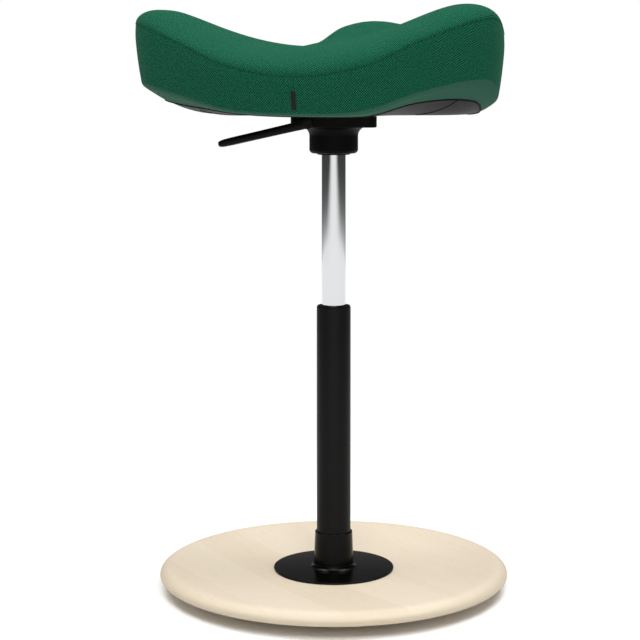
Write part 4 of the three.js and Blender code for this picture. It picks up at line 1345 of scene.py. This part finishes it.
@dataclass
class Housing:
    """Cast housing under the seat: boss, flare, rounded plate, lever's barrel, bolts and bushes."""

    palette: Palette
    shop: Workshop
    low: float = 0.512
    lip: Pair = (0.0192, 0.0015)
    boss: float = 0.0285
    boss_fillet: float = 0.0045
    flare: float = 0.011
    flare_end: float = 0.004
    plate_low: float = 0.5447
    plate_high: float = 0.560
    plate_half: Pair = (0.0495, 0.045)
    corner: float = 0.010
    edge: float = 0.0015
    chamfer: float = 0.0004
    tube_bore: Triple = (0.0142, 0.0137, 0.0275)
    pin_hole: Pair = (0.0033, 0.02)
    barrel: float = 0.0064
    barrel_back: float = 0.020
    shaft_bore: Pair = (0.0047, 0.0175)
    finger_half: float = 0.0062
    pocket: Triple = (0.0046, 0.006, 0.5415)
    slot: Pair = (0.0052, 0.0033)
    bolt_head: Pair = (0.0043, 0.0048)
    bolt_hole: Pair = (0.0005, 0.003)
    bolt_socket: Pair = (0.0023, 0.0028)
    bolt_thread: tuple[Pair, ...] = ((0.0025, 0.0185), (0.0021, 0.019))

    def plate(self) -> Mesh:
        """Makes the rounded plate with a broken lower edge.

        Returns:
            The solid.
        """
        rings, tall = [], self.plate_high - self.plate_low
        rounds = [(self.edge * (1 - math.sin(a)), self.edge * (1 - math.cos(a)))
                  for a in (0, 0.4, 0.8, 1.2, math.pi / 2)]
        for inset, rise in [*rounds, (0.0, tall - self.chamfer), (self.chamfer, tall)]:
            radius, ring = self.corner - inset, []
            for quarter, (sx, sy) in enumerate(((1, 1), (-1, 1), (-1, -1), (1, -1))):
                x, y = (way * (half - self.corner) for way, half in zip((sx, sy), self.plate_half))
                for i in range(13):
                    angle = math.pi / 2 * (quarter + i / 12)
                    ring.append((x + radius * math.cos(angle), y + radius * math.sin(angle),
                                 self.plate_low + rise))
            rings.append(ring)
        return Shape.prism(rings)

    def casting(self) -> None:
        """Joins boss, plate and barrel, and cuts bores, bolt holes and the finger's pocket."""
        lip, boss_low = self.lip[0], self.low + self.lip[1]
        fillet, flare = self.boss_fillet, self.flare
        profile = [(lip - self.chamfer, self.low), (lip, self.low + self.chamfer), (lip, boss_low)]
        profile += arc((self.boss - fillet, boss_low + fillet), (fillet, fillet), -90, 0, 10)
        profile += arc((self.boss + flare, self.plate_low - flare), (flare, flare), 180, 90, 14)
        profile += [(self.boss + flare, self.plate_high - self.flare_end)]
        front, half, (x,
                      z), past, top = -self.plate_half[1], self.finger_half, LEVER_AXIS, 0.002, 0.57
        barrel = Shape.along_y(self.barrel, front, self.barrel_back, x, z, 64)
        solid = Shape.combined(self.plate(), [Shape.spun(profile, 128), barrel], "UNION")
        wide, narrow, deep = self.tube_bore
        bore = Shape.spun([(wide, self.low - past), (wide, self.low), (narrow, self.low + deep)],
                          96)
        hole = Shape.rod(self.pin_hole[0], self.low + self.pin_hole[1], z, 32)
        shaft = Shape.along_y(self.shaft_bore[0], front - 0.01, self.shaft_bore[1], x, z, 32)
        start, end, floor = self.pocket
        pocket = Shape.box((x + start, -half, floor), (end, half, top))
        slot = Shape.box((x - self.slot[0], -half, z - self.slot[1]), (x + end, half, top))
        hub = Shape.along_y(self.slot[0], -half, half, x, z, 32)
        radius = self.bolt_head[0] + self.bolt_hole[0]
        deep = self.plate_low + self.chamfer + self.bolt_head[1]
        bolt = Shape.spun([(radius, 0.54), (radius, deep), (self.bolt_hole[1], deep + SHOULDER),
                           (self.bolt_hole[1], top)], 32)
        half_x, half_y = BOLT_SPAN[0] / 2, BOLT_SPAN[1] / 2
        bolts = [Shape.moved(bolt, Matrix.Translation((sx * half_x, sy * half_y, 0)))
                 for sx in (-1, 1) for sy in (-1, 1)]
        solid = Shape.combined(solid, [bore, hole, shaft, pocket, slot, hub, *bolts], "DIFFERENCE",
                               28.0)
        enlist(Shape.piece("cast_housing", solid, self.palette.casting), "column",
               "housing_paint", "hub_housing")

    def bolts(self) -> None:
        """Repeats the socket-head bolts at the plate's corners."""
        radius, tall = self.bolt_head
        low, (socket, deep) = self.plate_low + self.chamfer, self.bolt_socket
        (shank, length), (tip, end) = self.bolt_thread
        head = Shape.spun(
            [(radius - self.chamfer, low), (radius, low + self.chamfer), (radius, low + tall),
             (shank, low + tall + SHOULDER), (shank, low + tall + length), (tip, low + tall + end)],
            40)
        bolt = Shape.combined(head, [Shape.rod(socket, low - 0.001, low + deep, 6)], "DIFFERENCE")
        made = self.shop.at_corners("plate_bolts", bolt, self.palette.zinc)
        enlist(made, "column", "zinc_steel", *numbered("hub_screw", 4))

    def build(self, nodes: Nodes) -> None:
        """Builds the housing and dresses its bushes.

        Args:
            nodes: the CAD nodes by name.
        """
        self.casting()
        self.bolts()
        Node.dress(nodes, ("shaft_bush_front", "shaft_bush_back"), self.palette.moulding)


@dataclass
class Lever:
    """Release lever: a moulded paddle on a round root, with its steel shaft and press finger."""

    palette: Palette
    tip: Pair = (-0.1315, 0.5262)
    middle: float = -0.0528
    root: float = 0.0059
    root_ends: Pair = (-0.0598, -0.0458)
    sections: tuple[tuple[float, float, float, float], ...] = (
        (0.0, 0.0055, 0.00545, 0.0), (0.14, 0.0062, 0.00511, 0.0004),
        (0.35, 0.0078, 0.00488, 0.0019), (0.6, 0.0104, 0.00465, 0.0042),
        (0.84, 0.0120, 0.00454, 0.0056), (0.95, 0.0106, 0.0042, 0.0056),
        (0.99, 0.0074, 0.00295, 0.0056))
    facets: int = 40
    rings: int = 34
    last: float = 0.99
    corners: Pair = (0.6, 0.7)
    pulls: Triple = (0.35, 0.7, 0.93)
    bore: Triple = (0.0032, -0.0568, -0.03)
    voxel: float = 0.0006
    rounds: int = 6
    softness: float = 0.5

    def paddle(self) -> Mesh:
        """Lofts the paddle from its root to its tip.

        Returns:
            The solid.
        """
        (x0, z0), (x1, z1) = LEVER_AXIS, self.tip
        slope = math.atan2(z0 - z1, x0 - x1)
        table = np.array(self.sections)
        rings = []
        for share in np.linspace(0, self.last, self.rings):
            wide, thick, swept = (float(np.interp(share, table[:, 0], table[:, k]))
                                  for k in (1, 2, 3))
            ring = []
            for i in range(self.facets):
                angle = TURN * i / self.facets
                side, lift = (
                    math.copysign(abs(way) ** power, way)
                    for way, power in zip((math.cos(angle), math.sin(angle)), self.corners))
                ring.append((x0 + share * (x1 - x0) - thick * lift * math.sin(slope),
                             self.middle - swept + wide * side,
                             z0 + share * (z1 - z0) + thick * lift * math.cos(slope)))
            rings.append(ring)
        last = np.array(rings[-1])
        centre = np.array((x1, self.middle - table[-1][3], z1))
        for pull in self.pulls:
            rings.append([tuple(p) for p in last + (centre - last) * pull])
        return Shape.prism(rings)

    def handle(self) -> None:
        """Fuses paddle and root with soft fillets and bores the root for the shaft."""
        root = Shape.along_y(self.root, *self.root_ends, *LEVER_AXIS, 64)
        holder = Shape.piece("work_handle", Shape.combined(self.paddle(), [root], "UNION"))
        even = holder.modifiers.new("even", "REMESH")
        even.mode, even.voxel_size, even.use_smooth_shade = "VOXEL", self.voxel, True
        soft = holder.modifiers.new("soft", "CORRECTIVE_SMOOTH")
        soft.iterations, soft.factor, soft.use_only_smooth = self.rounds, self.softness, True
        fused = Shape.close(Shape.baked(holder), 60.0)
        solid = Shape.combined(fused, [Shape.along_y(*self.bore, *LEVER_AXIS, 32)], "DIFFERENCE",
                               50.0)
        enlist(Shape.piece("paddle_handle", solid, self.palette.moulding), "lever",
               "black_plastic", "lever_handle")

    def build(self, nodes: Nodes) -> None:
        """Builds the handle and dresses the shaft, the finger and its pin."""
        self.handle()
        Node.dress(nodes, ("lever_shaft", "finger_pin", "press_finger"), self.palette.zinc)


def hermite(share: float, span: float, values: Sequence, slopes: Sequence) -> float | np.ndarray:
    """A point on a smooth curve between two places.

    Args:
        share: the point's share of the way.
        span: the distance between the places.
        values: the values at both places.
        slopes: the slopes at both places.

    Returns:
        The value at the point.
    """
    t, t2, t3 = share, share**2, share**3
    level = (2 * t3 - 3 * t2 + 1) * values[0] + (3 * t2 - 2 * t3) * values[1]
    return level + span * ((t3 - 2 * t2 + t) * slopes[0] + (t3 - t2) * slopes[1])


def spline(points: Sequence[Pair], k: int, t: float) -> Pair:
    """A point on the smooth curve through points.

    Args:
        points: the points.
        k: the span that it is in.
        t: its share of that span.

    Returns:
        The point.
    """
    before, start = points[max(0, k - 1)], points[k]
    end, after = points[k + 1], points[min(len(points) - 1, k + 2)]
    radius, height = (hermite(t, 0.5, (b, c), (c - a, d - b))
                      for a, b, c, d in zip(before, start, end, after))
    return radius, height


@dataclass(frozen=True)
class Section:
    """Sizes of the seat at one azimuth, in metres from the column's axis and the seat's plane."""

    outer: float
    crest_radius: float
    crest: float
    seam: float
    hem: float
    rise: float
    hem_inset: float
    fold: float

    def under(self, radius: float) -> float:
        """Height of the underside at a radius."""
        share = (radius - self.rise) / (self.outer - self.hem_inset - self.rise)
        return self.hem * max(0.0, share) ** 2


@dataclass(frozen=True)
class SeatForm:
    """The seat's form: sections at azimuths, with a smooth curve through them all the way round."""

    plane: float = 0.560
    centre: float = 0.077
    rows: tuple[tuple[float, ...], ...] = (
        (16, 176, 105, 80, 54, 2.8, 137.4), (43, 187, 130, 98, 80, 14, 125),
        (70, 203, 160, 112, 98, 30, 125), (86, 195, 150, 104.6, 90, 22, 125),
        (99, 183, 128, 84, 66, 11, 125), (129, 174, 105, 77.6, 50, 4, 130),
        (160, 206, 165, 101.4, 80, 18, 118), (188, 231, 202, 120.4, 104, 33.1, 136.2),
        (212, 205.5, 160, 94.8, 81, 19.2, 138.8), (232, 194, 122, 78, 56, 6, 133.7),
        (256, 187, 105, 76, 44, 2.2, 149.2), (280, 189, 118, 84, 55, 4.9, 158.1),
        (300, 199, 150, 100, 84, 25.3, 126.4), (322, 221, 181, 124, 107, 36.5, 160.2),
        (335, 211.5, 168, 114.6, 91, 18.3, 162.2), (347, 193, 146, 105, 83, 13.1, 156.3))
    dip: tuple[Pair, ...] = ((0, 0), (0.29, 0.07), (0.435, 0.186), (0.585, 0.395), (0.75, 0.7),
                             (0.9, 0.95), (1, 1))
    dip_slope: float = 0.15
    band: tuple[Triple, ...] = ((1, 0, 0), (0.68, 0, 0.14), (0.33, 0, 0.45), (0.1, 0, 0.78),
                                (0, 1, 1))
    hem_inset: float = 0.0095
    seam_inset: float = 0.0015
    fold: float = 0.024
    fold_swells: tuple[Triple, ...] = ((192, 17, 0.011), (352, 22, 0.009))
    fold_edge: float = 0.0004
    hidden_radii: Triple = (0.03, 0.06, 0.09)
    fold_thickness: float = 0.0022
    shell_edge: float = 0.0135
    shell_top: float = 0.0104
    shell_low: float = 0.0034
    fold_steps: tuple[float, ...] = (0.25, 0.5, 0.75, 1.0)
    band_steps: tuple[float, ...] = (0.2, 0.4, 0.6, 0.8, 1.0)
    seam_steps: tuple[float, ...] = (0.2, 0.4, 0.58, 0.74, 0.88, 1.0)
    crown_degrees: tuple[float, ...] = (2, 4.5, 8, 12.5, 18, 24, 31, 39, 47, 56, 65, 74, 82, 90)
    dip_shares: tuple[float, ...] = (0.965, 0.93, 0.89, 0.85, 0.8, 0.75, 0.7, 0.64, 0.58, 0.52,
                                     0.46, 0.4, 0.34, 0.28, 0.22, 0.16, 0.1, 0.05)

    def section(self, azimuth: float) -> Section:
        """Sizes of the seat at an azimuth.

        Args:
            azimuth: the azimuth in degrees.

        Returns:
            The section.
        """
        rows = np.array(self.rows)
        before, after = rows[-2:].copy(), rows[:2].copy()
        before[:, 0] -= 360
        after[:, 0] += 360
        table = np.concatenate((before, rows, after))
        place = azimuth % 360
        k = int(np.searchsorted(table[:, 0], place, side="right")) - 1
        slopes = [(table[m + 1] - table[m - 1]) / (table[m + 1, 0] - table[m - 1, 0])
                  for m in (k, k + 1)]
        span = table[k + 1, 0] - table[k, 0]
        sizes = hermite((place - table[k, 0]) / span, span, (table[k], table[k + 1]),
                        tuple(slopes)) / 1000
        ways = [(azimuth - end + 180) % 360 - 180 for end, _, _ in self.fold_swells]
        swells = [more * math.exp(-((way / wide) ** 2))
                  for way, (_, wide, more) in zip(ways, self.fold_swells)]
        return Section(*sizes[1:].tolist(), self.hem_inset, self.fold + sum(swells))

    def dipped(self, share: float) -> float:
        """Share of the crest's height at a share of the crest's radius.

        Args:
            share: the share of the radius.

        Returns:
            The share of the height.
        """
        points = self.dip
        k = max(i for i in range(len(points) - 1) if points[i][0] <= share)
        slopes = [0.0, *((after[1] - before[1]) / (after[0] - before[0])
                         for before, after in zip(points, points[2:])), self.dip_slope]
        span = points[k + 1][0] - points[k][0]
        heights = (points[k][1], points[k + 1][1])
        return hermite((share - points[k][0]) / span, span, heights, (slopes[k], slopes[k + 1]))

    def outline(self, at: Section) -> list[tuple[float, float, Zone]]:
        """The cushion's outline in a section, from the hidden underside to near the dip's middle.

        Args:
            at: the section.

        Returns:
            Radius, height and zone of every ring.
        """
        edge, start = at.outer - self.shell_edge, at.outer - at.fold
        radii = (*self.hidden_radii, 0.5 * (self.hidden_radii[-1] + edge), edge)
        rings = [(r, self.shell_top + at.under(r), Zone.HIDDEN) for r in radii]
        rings += [(edge, at.under(edge) + self.shell_low, Zone.HIDDEN),
                  (start, at.under(start) + self.fold_thickness, Zone.HIDDEN),
                  (start - self.fold_edge, at.under(start) + self.fold_thickness / 2, Zone.HIDDEN),
                  (start, at.under(start), Zone.FOLD)]
        hem_radius, height = at.outer - self.hem_inset, at.seam - at.hem
        middle = (start + hem_radius) / 2
        points = [(start, at.under(start)), (middle, at.under(middle))]
        points += [
            (at.outer - low * self.hem_inset - high * self.seam_inset, at.hem + rise * height)
            for low, high, rise in self.band]
        fold, band = (self.fold_steps, Zone.FOLD), (self.band_steps, Zone.BAND)
        spans = [fold, fold, band, band, band, (self.seam_steps, Zone.BAND)]
        for k, (steps, zone) in enumerate(spans):
            rings += [(*spline(points, k, t), zone) for t in steps]
        seam_radius = at.outer - self.seam_inset
        for degrees in self.crown_degrees:
            a = math.radians(degrees)
            radius = at.crest_radius + (seam_radius - at.crest_radius) * math.cos(a)
            rings.append((radius, at.seam + (at.crest - at.seam) * math.sin(a), Zone.CROWN))
        for share in self.dip_shares:
            height = self.centre + (at.crest - self.centre) * self.dipped(share)
            rings.append((share * at.crest_radius, height, Zone.DIP))
        return rings


@dataclass
class Seat:
    """Padded seat: filled cushion in a sewn cover, seamed lining, blank tag and its shell."""

    palette: Palette
    shop: Workshop
    form: SeatForm = field(default_factory=SeatForm)
    columns: int = 240
    slack: float = 0.0010
    swell: float = 0.0030
    settled: float = 0.8
    evened: int = 3
    pressure: float = 4.0
    quality: int = 4
    mass: float = 0.25
    frames: int = 20
    groove: Pair = (0.00018, 0.0014)
    # Reach of the painted shade along the seam.
    seam_reach: float = 0.0009
    # How the painted light on the turned-under edge fades into the band.
    hem_fade: tuple[float, ...] = (0.8, 0.5, 0.25, 0.08)
    outside: float = 0.4
    stitch: Triple = (0.0030, 0.0030, 0.0005)
    stitch_lift: float = 0.0002
    upright: Pair = (0.001, 0.0007)
    upright_lift: float = 0.00005
    upright_points: int = 14
    tag_azimuth: float = 256.45
    tag_size: Triple = (0.0052, 0.0198, 0.0011)
    tag_low: float = 0.0080
    tag_lift: float = 0.0001
    tag_net: tuple[int, int] = (21, 6)
    tag_puff: Pair = (0.35, 0.65)
    tag_rise: Pair = (0.08, 0.92)
    tag_side: float = 0.02
    shell_high: float = 0.010
    tee_sunk: float = 0.0016
    tee_barrel: Pair = (0.004, 0.0082)
    tee_disc: Pair = (0.008, 0.0014)
    tee_bore: float = 0.0027
    lining_columns: int = 180
    lining_rings: int = 26
    lining_lift: float = 0.00055
    lining_thickness: float = 0.0032
    lining_start: float = 0.077
    lining_gap: float = 0.0003
    binding: Pair = (0.004, 0.0014)
    binding_place: Pair = (0.0012, 0.0007)
    dart: Pair = (0.003, 0.0009)
    dart_drop: float = 0.0004
    dart_points: int = 20
    darts: tuple[tuple[Pair, Pair], ...] = (
        ((0.1365, -0.1330), (0.0905, -0.1150)), ((-0.150, -0.078), (-0.088, -0.086)),
        ((0.050, 0.136), (0.040, 0.086)))
    seam_line: np.ndarray = field(init=False)
    tree: BVHTree = field(init=False)

    @staticmethod
    def seam_ring(zones: list[Zone]) -> int:
        """Number of the ring that the seam runs along."""
        return zones.index(Zone.CROWN) - 1

    def azimuths(self) -> np.ndarray:
        """The azimuth of every column in degrees."""
        return np.arange(self.columns) * 360 / self.columns

    def net(self) -> tuple[np.ndarray, list[Zone]]:
        """Points of the cushion as a net of rings and columns.

        Returns:
            The points, rings first, and the zone of each ring.
        """
        outlines = [self.form.outline(self.form.section(a)) for a in self.azimuths()]
        zones = [zone for _, _, zone in outlines[0]]
        net = np.zeros((len(zones), self.columns, 3))
        for i, (azimuth, outline) in enumerate(zip(self.azimuths(), outlines)):
            angle = math.radians(azimuth)
            for k, (radius, height, _) in enumerate(outline):
                net[k, i] = (radius * math.cos(angle), radius * math.sin(angle),
                             self.form.plane + height)
        return net, zones

    def normals(self, net: np.ndarray) -> np.ndarray:
        """Outward normals of the net.

        Args:
            net: the points.

        Returns:
            A unit vector for each point.
        """
        along = np.gradient(net, axis=0)
        around = np.roll(net, -1, axis=1) - np.roll(net, 1, axis=1)
        normal = np.cross(around, along)
        return normal / np.maximum(np.linalg.norm(normal, axis=2, keepdims=True), 1e-12)

    def mesh(self, net: np.ndarray, zones: list[Zone]) -> Mesh:
        """Makes the cushion's mesh with its weave map and its seam and hem attributes, the masks of
        painted seam shade and painted hem light.

        Args:
            net: the points.
            zones: the zone of each ring.

        Returns:
            The mesh.
        """
        rings, columns = net.shape[:2]
        points = net.reshape(-1, 3).tolist()
        low_pole, high_pole = len(points), len(points) + 1
        points += [(0, 0, self.form.plane + self.form.shell_top),
                   (0, 0, self.form.plane + self.form.centre)]
        starts = [(k * columns, k * columns + columns) for k in range(rings - 1)]
        faces = [(low + i, low + (i + 1) % columns, high + (i + 1) % columns, high + i)
                 for low, high in starts for i in range(columns)]
        top = (rings - 1) * columns
        faces += [((i + 1) % columns, i, low_pole) for i in range(columns)]
        faces += [(top + i, top + (i + 1) % columns, high_pole) for i in range(columns)]
        made = Shape.mesh("cushion", points, faces)
        self.weave(made, net, zones)
        seam_ring = self.seam_ring(zones)
        # The seam mark masks painted shade along the seam; the hem mark masks painted light on the
        # turned-under edge.
        marks = {"seam": np.zeros(rings), "hem": np.zeros(rings)}
        for k, zone in enumerate(zones):
            gap = np.linalg.norm(net[k] - net[seam_ring], axis=1).mean()
            marks["seam"][k] = math.exp(-((gap / self.seam_reach) ** 2))
            marks["hem"][k] = 1.0 if zone in (Zone.HIDDEN, Zone.FOLD) else 0.0
        first = zones.index(Zone.BAND)
        marks["hem"][first:first + len(self.hem_fade)] = self.hem_fade
        for name, values in marks.items():
            layer = made.attributes.new(name, "FLOAT", "POINT")
            layer.data.foreach_set("value", [*np.repeat(values, columns).tolist(), 0.0, 0.0])
        return made

    def weave(self, mesh: Mesh, net: np.ndarray, zones: list[Zone]) -> None:
        """Maps the cloth in metres: along and up the band, and outwards from the middle on the top.

        Args:
            mesh: the cushion's mesh.
            net: the points.
            zones: the zone of each ring.
        """
        rings, columns = net.shape[:2]
        seam_ring = self.seam_ring(zones)
        up = np.zeros((rings, columns))
        up[1:] = np.cumsum(np.linalg.norm(np.diff(net, axis=0), axis=2), axis=0)
        waist = net[seam_ring]
        steps = np.linalg.norm(np.roll(waist, -1, axis=0) - waist, axis=1)
        around = np.concatenate(([0.0], np.cumsum(steps)))
        middle = up[-1] + np.linalg.norm(net[-1, :, :2], axis=1)
        out = middle[None, :] - up
        angles = np.radians(self.azimuths())
        layer = mesh.uv_layers.new(name="weave")
        values = np.zeros((len(mesh.loops), 2))
        pole = rings * columns
        for face in mesh.polygons:
            corners = [mesh.loops[l].vertex_index for l in face.loop_indices]
            kept = [c for c in corners if c < pole]
            flat = min(c // columns for c in kept) >= seam_ring
            wraps = {0, columns - 1} <= {c % columns for c in kept}
            for l, corner in zip(face.loop_indices, corners):
                if corner >= pole:
                    continue
                k, i = divmod(corner, columns)
                if flat:
                    values[l] = (out[k, i] * math.cos(angles[i]), out[k, i] * math.sin(angles[i]))
                else:
                    values[l] = (around[-1] if wraps and i == 0 else around[i], up[k, i])
        layer.data.foreach_set("uv", values.ravel())

    def filled(self, net: np.ndarray, zones: list[Zone]) -> np.ndarray:
        """Fills the cover by a cloth simulation, held at its seam, its fold and where it is hidden.

        Args:
            net: the points of the slack cover.
            zones: the zone of each ring.

        Returns:
            The points of the filled cover.
        """
        rings, columns = net.shape[:2]
        seam_ring = self.seam_ring(zones)
        normals = self.normals(net)
        free = np.array([0.0 if zone in (Zone.HIDDEN, Zone.FOLD) else 1.0 for zone in zones])
        free[seam_ring] = 0.0
        start = net - normals * (self.slack * free)[:, None, None]
        holder = Shape.piece("work_cushion", self.mesh(start, zones))
        held = holder.vertex_groups.new(name="held")
        fixed = [k * columns + i for k in range(rings) if not free[k] for i in range(columns)]
        held.add([*fixed, rings * columns], 1.0, "REPLACE")
        cloth = holder.modifiers.new("cover", "CLOTH")
        cloth.settings.quality = self.quality
        cloth.settings.mass = self.mass
        cloth.settings.vertex_group_mass = "held"
        cloth.settings.use_pressure = True
        cloth.settings.uniform_pressure_force = self.pressure
        cloth.settings.effector_weights.gravity = 0.0
        cloth.point_cache.frame_start, cloth.point_cache.frame_end = 1, self.frames
        for frame in range(1, self.frames + 1):
            bpy.context.scene.frame_set(frame)
        moved = Shape.baked(holder)
        bpy.context.scene.frame_set(1)
        places = np.zeros(len(moved.vertices) * 3)
        moved.vertices.foreach_get("co", places)
        shift = places.reshape(-1, 3)[:rings * columns].reshape(rings, columns, 3) - start
        push = np.clip((shift * normals).sum(axis=2), 0.0, self.swell)
        push *= free[:, None]
        for _ in range(self.evened):
            level = (np.roll(push, 1, axis=1) + np.roll(push, -1, axis=1) + 2 * push) / 4
            level[1:-1] = (level[:-2] + level[2:] + 2 * level[1:-1]) / 4
            push = level * free[:, None]
        LOG.info("cloth: pushed out by up to %.1f mm", 1000 * push.max())
        push -= self.slack * free[:, None]
        push -= self.settled * push.mean(axis=1, keepdims=True)
        return net + normals * push[:, :, None]

    def cushion(self) -> None:
        """Builds the filled cushion with its sewn seam."""
        net, zones = self.net()
        net = self.filled(net, zones)
        seam_ring = self.seam_ring(zones)
        normals, (depth, width) = self.normals(net), self.groove
        for k in range(len(zones)):
            gap = np.linalg.norm(net[k] - net[seam_ring], axis=1)
            net[k] -= normals[seam_ring] * (depth * np.exp(-((gap / width) ** 2)))[:, None]
        self.seam_line = net[seam_ring] + normals[seam_ring] * self.stitch_lift
        holder = Shape.piece("work_cover", self.mesh(net, zones))
        smooth = holder.modifiers.new("smooth", "SUBSURF")
        smooth.levels = smooth.render_levels = 1
        smooth.use_limit_surface = False
        mesh = Shape.close(Shape.baked(holder), 80.0)
        self.tree = BVHTree.FromPolygons(
            [v.co.copy() for v in mesh.vertices], [tuple(p.vertices) for p in mesh.polygons])
        piece = Shape.piece("seat_cushion", mesh, self.palette.cloth)
        enlist(piece, "column", "green_fabric", "seat_foam", "cover_top", "cover_band")

    def sewn(self, name: str, line: Mesh, finish: Finish, slot: str, size: Pair) -> Piece:
        """Lays a round thread or cord along a line on the seat.

        Args:
            name: the piece's name.
            line: the line.
            finish: its finish.
            slot: its material slot.
            size: the pitch of its points and its thickness.

        Returns:
            The piece.
        """
        pitch, thickness = size
        made = self.shop.cording.run(name, line, finish, 60.0, Pitch=pitch, Thickness=thickness)
        return enlist(made, "column", slot)

    def surface(self, azimuth: float, height: float, out: float) -> Vector:
        """A point just outside the side of the cushion.

        Args:
            azimuth: its azimuth in degrees.
            height: its height above the seat's plane.
            out: how far it stands off.

        Returns:
            The point.
        """
        a = math.radians(azimuth)
        way = Vector((math.cos(a), math.sin(a), 0))
        start = way * self.outside + Vector((0, 0, self.form.plane + height))
        hit = self.tree.ray_cast(start, -way)[0]
        return hit + way * out

    def sewing(self) -> None:
        """Sews the seam round the top, and the short upright seam above the tag."""
        line, (pitch, length, thickness) = (
            Shape.polyline("seam_line", self.seam_line, True), self.stitch)
        stitches = self.shop.stitching.run("seam_stitches", line, self.palette.thread, 60.0,
                                           Pitch=pitch, Length=length, Thickness=thickness)
        enlist(stitches, "column", "green_fabric")
        low, high = (
            self.tag_low + self.tag_size[1], self.form.section(self.tag_azimuth).seam - 0.001)
        points = [self.surface(self.tag_azimuth, height, self.upright_lift)
                  for height in np.linspace(low, high, self.upright_points)]
        self.sewn("upright_seam", Shape.polyline("upright_line", points), self.palette.thread,
                  "green_fabric", self.upright)

    def hanging(self, azimuth: float, at: Section, radius: float, lift: float) -> Triple:
        """A point that stands off the seat's underside at an azimuth in degrees and a radius."""
        a = math.radians(azimuth)
        return radius * math.cos(a), radius * math.sin(a), self.form.plane + at.under(radius) + lift

    def lining_sheet(self, azimuths: Sequence[float], sections: Sequence[Section]) -> Piece:
        """Stretches the lining between the housing and the cover's fold.

        Args:
            azimuths: azimuth of every column, in degrees.
            sections: the seat's section at each.

        Returns:
            The piece.
        """
        steps, rings = self.lining_rings, []
        for side, order in ((0.0, range(steps)), (self.lining_thickness, reversed(range(steps)))):
            for k in order:
                ring = []
                for azimuth, at in zip(azimuths, sections):
                    span = at.outer - at.fold - self.lining_gap - self.lining_start
                    radius = self.lining_start + span * k / (steps - 1)
                    ring.append(self.hanging(azimuth, at, radius, self.lining_lift + side))
                rings.append(ring)
        piece = Shape.piece("lining_sheet", Shape.prism(rings, True), self.palette.lining)
        return enlist(piece, "column", "grey_fabric", "underside_panel")

    def dart_seams(self) -> list[Piece]:
        """Sews the lining's darts.

        Returns:
            The seams.
        """
        made = []
        for number, ((x0, y0), (x1, y1)) in enumerate(self.darts):
            points = []
            for t in np.linspace(0, 1, self.dart_points):
                x, y = x0 + (x1 - x0) * t, y0 + (y1 - y0) * t
                azimuth = math.degrees(math.atan2(y, x))
                points.append(self.hanging(azimuth, self.form.section(azimuth), math.hypot(x, y),
                                           self.lining_lift - self.dart_drop))
            made.append(self.sewn(f"lining_dart_{number + 1}", Shape.polyline("dart_line", points),
                                  self.palette.binding, "grey_fabric", self.dart))
        return made

    def lining(self) -> None:
        """Makes the lining with its binding and its dart seams, and finds its bounds."""
        azimuths = [360 * i / self.lining_columns for i in range(self.lining_columns)]
        sections = [self.form.section(azimuth) for azimuth in azimuths]
        piece = self.lining_sheet(azimuths, sections)
        mesh = piece.data
        inset, drop = self.binding_place
        line = [self.hanging(azimuth, at, at.outer - at.fold - inset, self.lining_lift - drop)
                for azimuth, at in zip(azimuths, sections)]
        edge = self.sewn("lining_binding", Shape.polyline("binding_line", line, True),
                         self.palette.binding, "black_plastic", self.binding)
        darts = self.dart_seams()
        low, high = (Vector(f(v.co[k] for v in mesh.vertices) for k in range(3))
                     for f in (min, max))

    def tag(self) -> None:
        """Sews a blank folded ribbon tag to the band."""
        wide, tall, thick = self.tag_size
        rows, columns = self.tag_net
        (flat, puffed), (start, rise), side = self.tag_puff, self.tag_rise, self.tag_side
        rings = []
        radius = self.form.section(self.tag_azimuth).outer
        for h in np.linspace(0, 1, rows):
            puff = thick * (flat + puffed * math.sin(math.pi * min(1, start + h * rise)) ** 0.5)
            low, high = (
                [self.surface(self.tag_azimuth + math.degrees((s - 0.5) * wide / radius),
                              self.tag_low + tall * h, out)
                 for s in np.linspace(first, last, columns)]
                for first, last, out in ((0, 1, self.tag_lift), (side, 1 - side, puff)))
            rings.append([*low, *reversed(high)])
        piece = Shape.piece("blank_tag", Shape.prism(rings), self.palette.ribbon)
        enlist(piece, "column", "label_fabric", "seat_label")

    def hardware(self, nodes: Nodes) -> None:
        """Repeats the shell's threaded inserts and dresses the shell.

        Args:
            nodes: the CAD nodes by name.
        """
        seat = self.form.plane + self.shell_high - self.tee_sunk
        (barrel, long), (disc, thick) = self.tee_barrel, self.tee_disc
        body = Shape.spun(
            [(barrel, seat - long), (barrel, seat), (disc, seat + SHOULDER), (disc, seat + thick)],
            40)
        insert = Shape.combined(body, [Shape.rod(self.tee_bore, 0.5, 0.6, 32)], "DIFFERENCE")
        made = self.shop.at_corners("shell_inserts", insert, self.palette.zinc)
        enlist(made, "column", "zinc_steel", *numbered("tee_nut", 4))
        Node.dress(nodes, ("seat_shell",), self.palette.plywood)

    def build(self, nodes: Nodes) -> None:
        """Builds every piece of the seat.

        Args:
            nodes: the CAD nodes by name.
        """
        self.cushion()
        self.sewing()
        self.lining()
        self.tag()
        self.hardware(nodes)


def main() -> None:
    """Builds the stool in the frame."""
    logging.basicConfig(level=logging.INFO, format="%(relativeCreated)6d ms: %(message)s")
    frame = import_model()
    nodes = frame["nodes"]
    palette = Palette()
    shop = Workshop()
    Studio().build()
    Base(palette, shop).build()
    Lift(palette, shop).build(nodes)
    Housing(palette, shop).build(nodes)
    Lever(palette).build(nodes)
    Seat(palette, shop).build(nodes)
    bpy.context.view_layer.update()


if __name__ == "__main__":
    main()
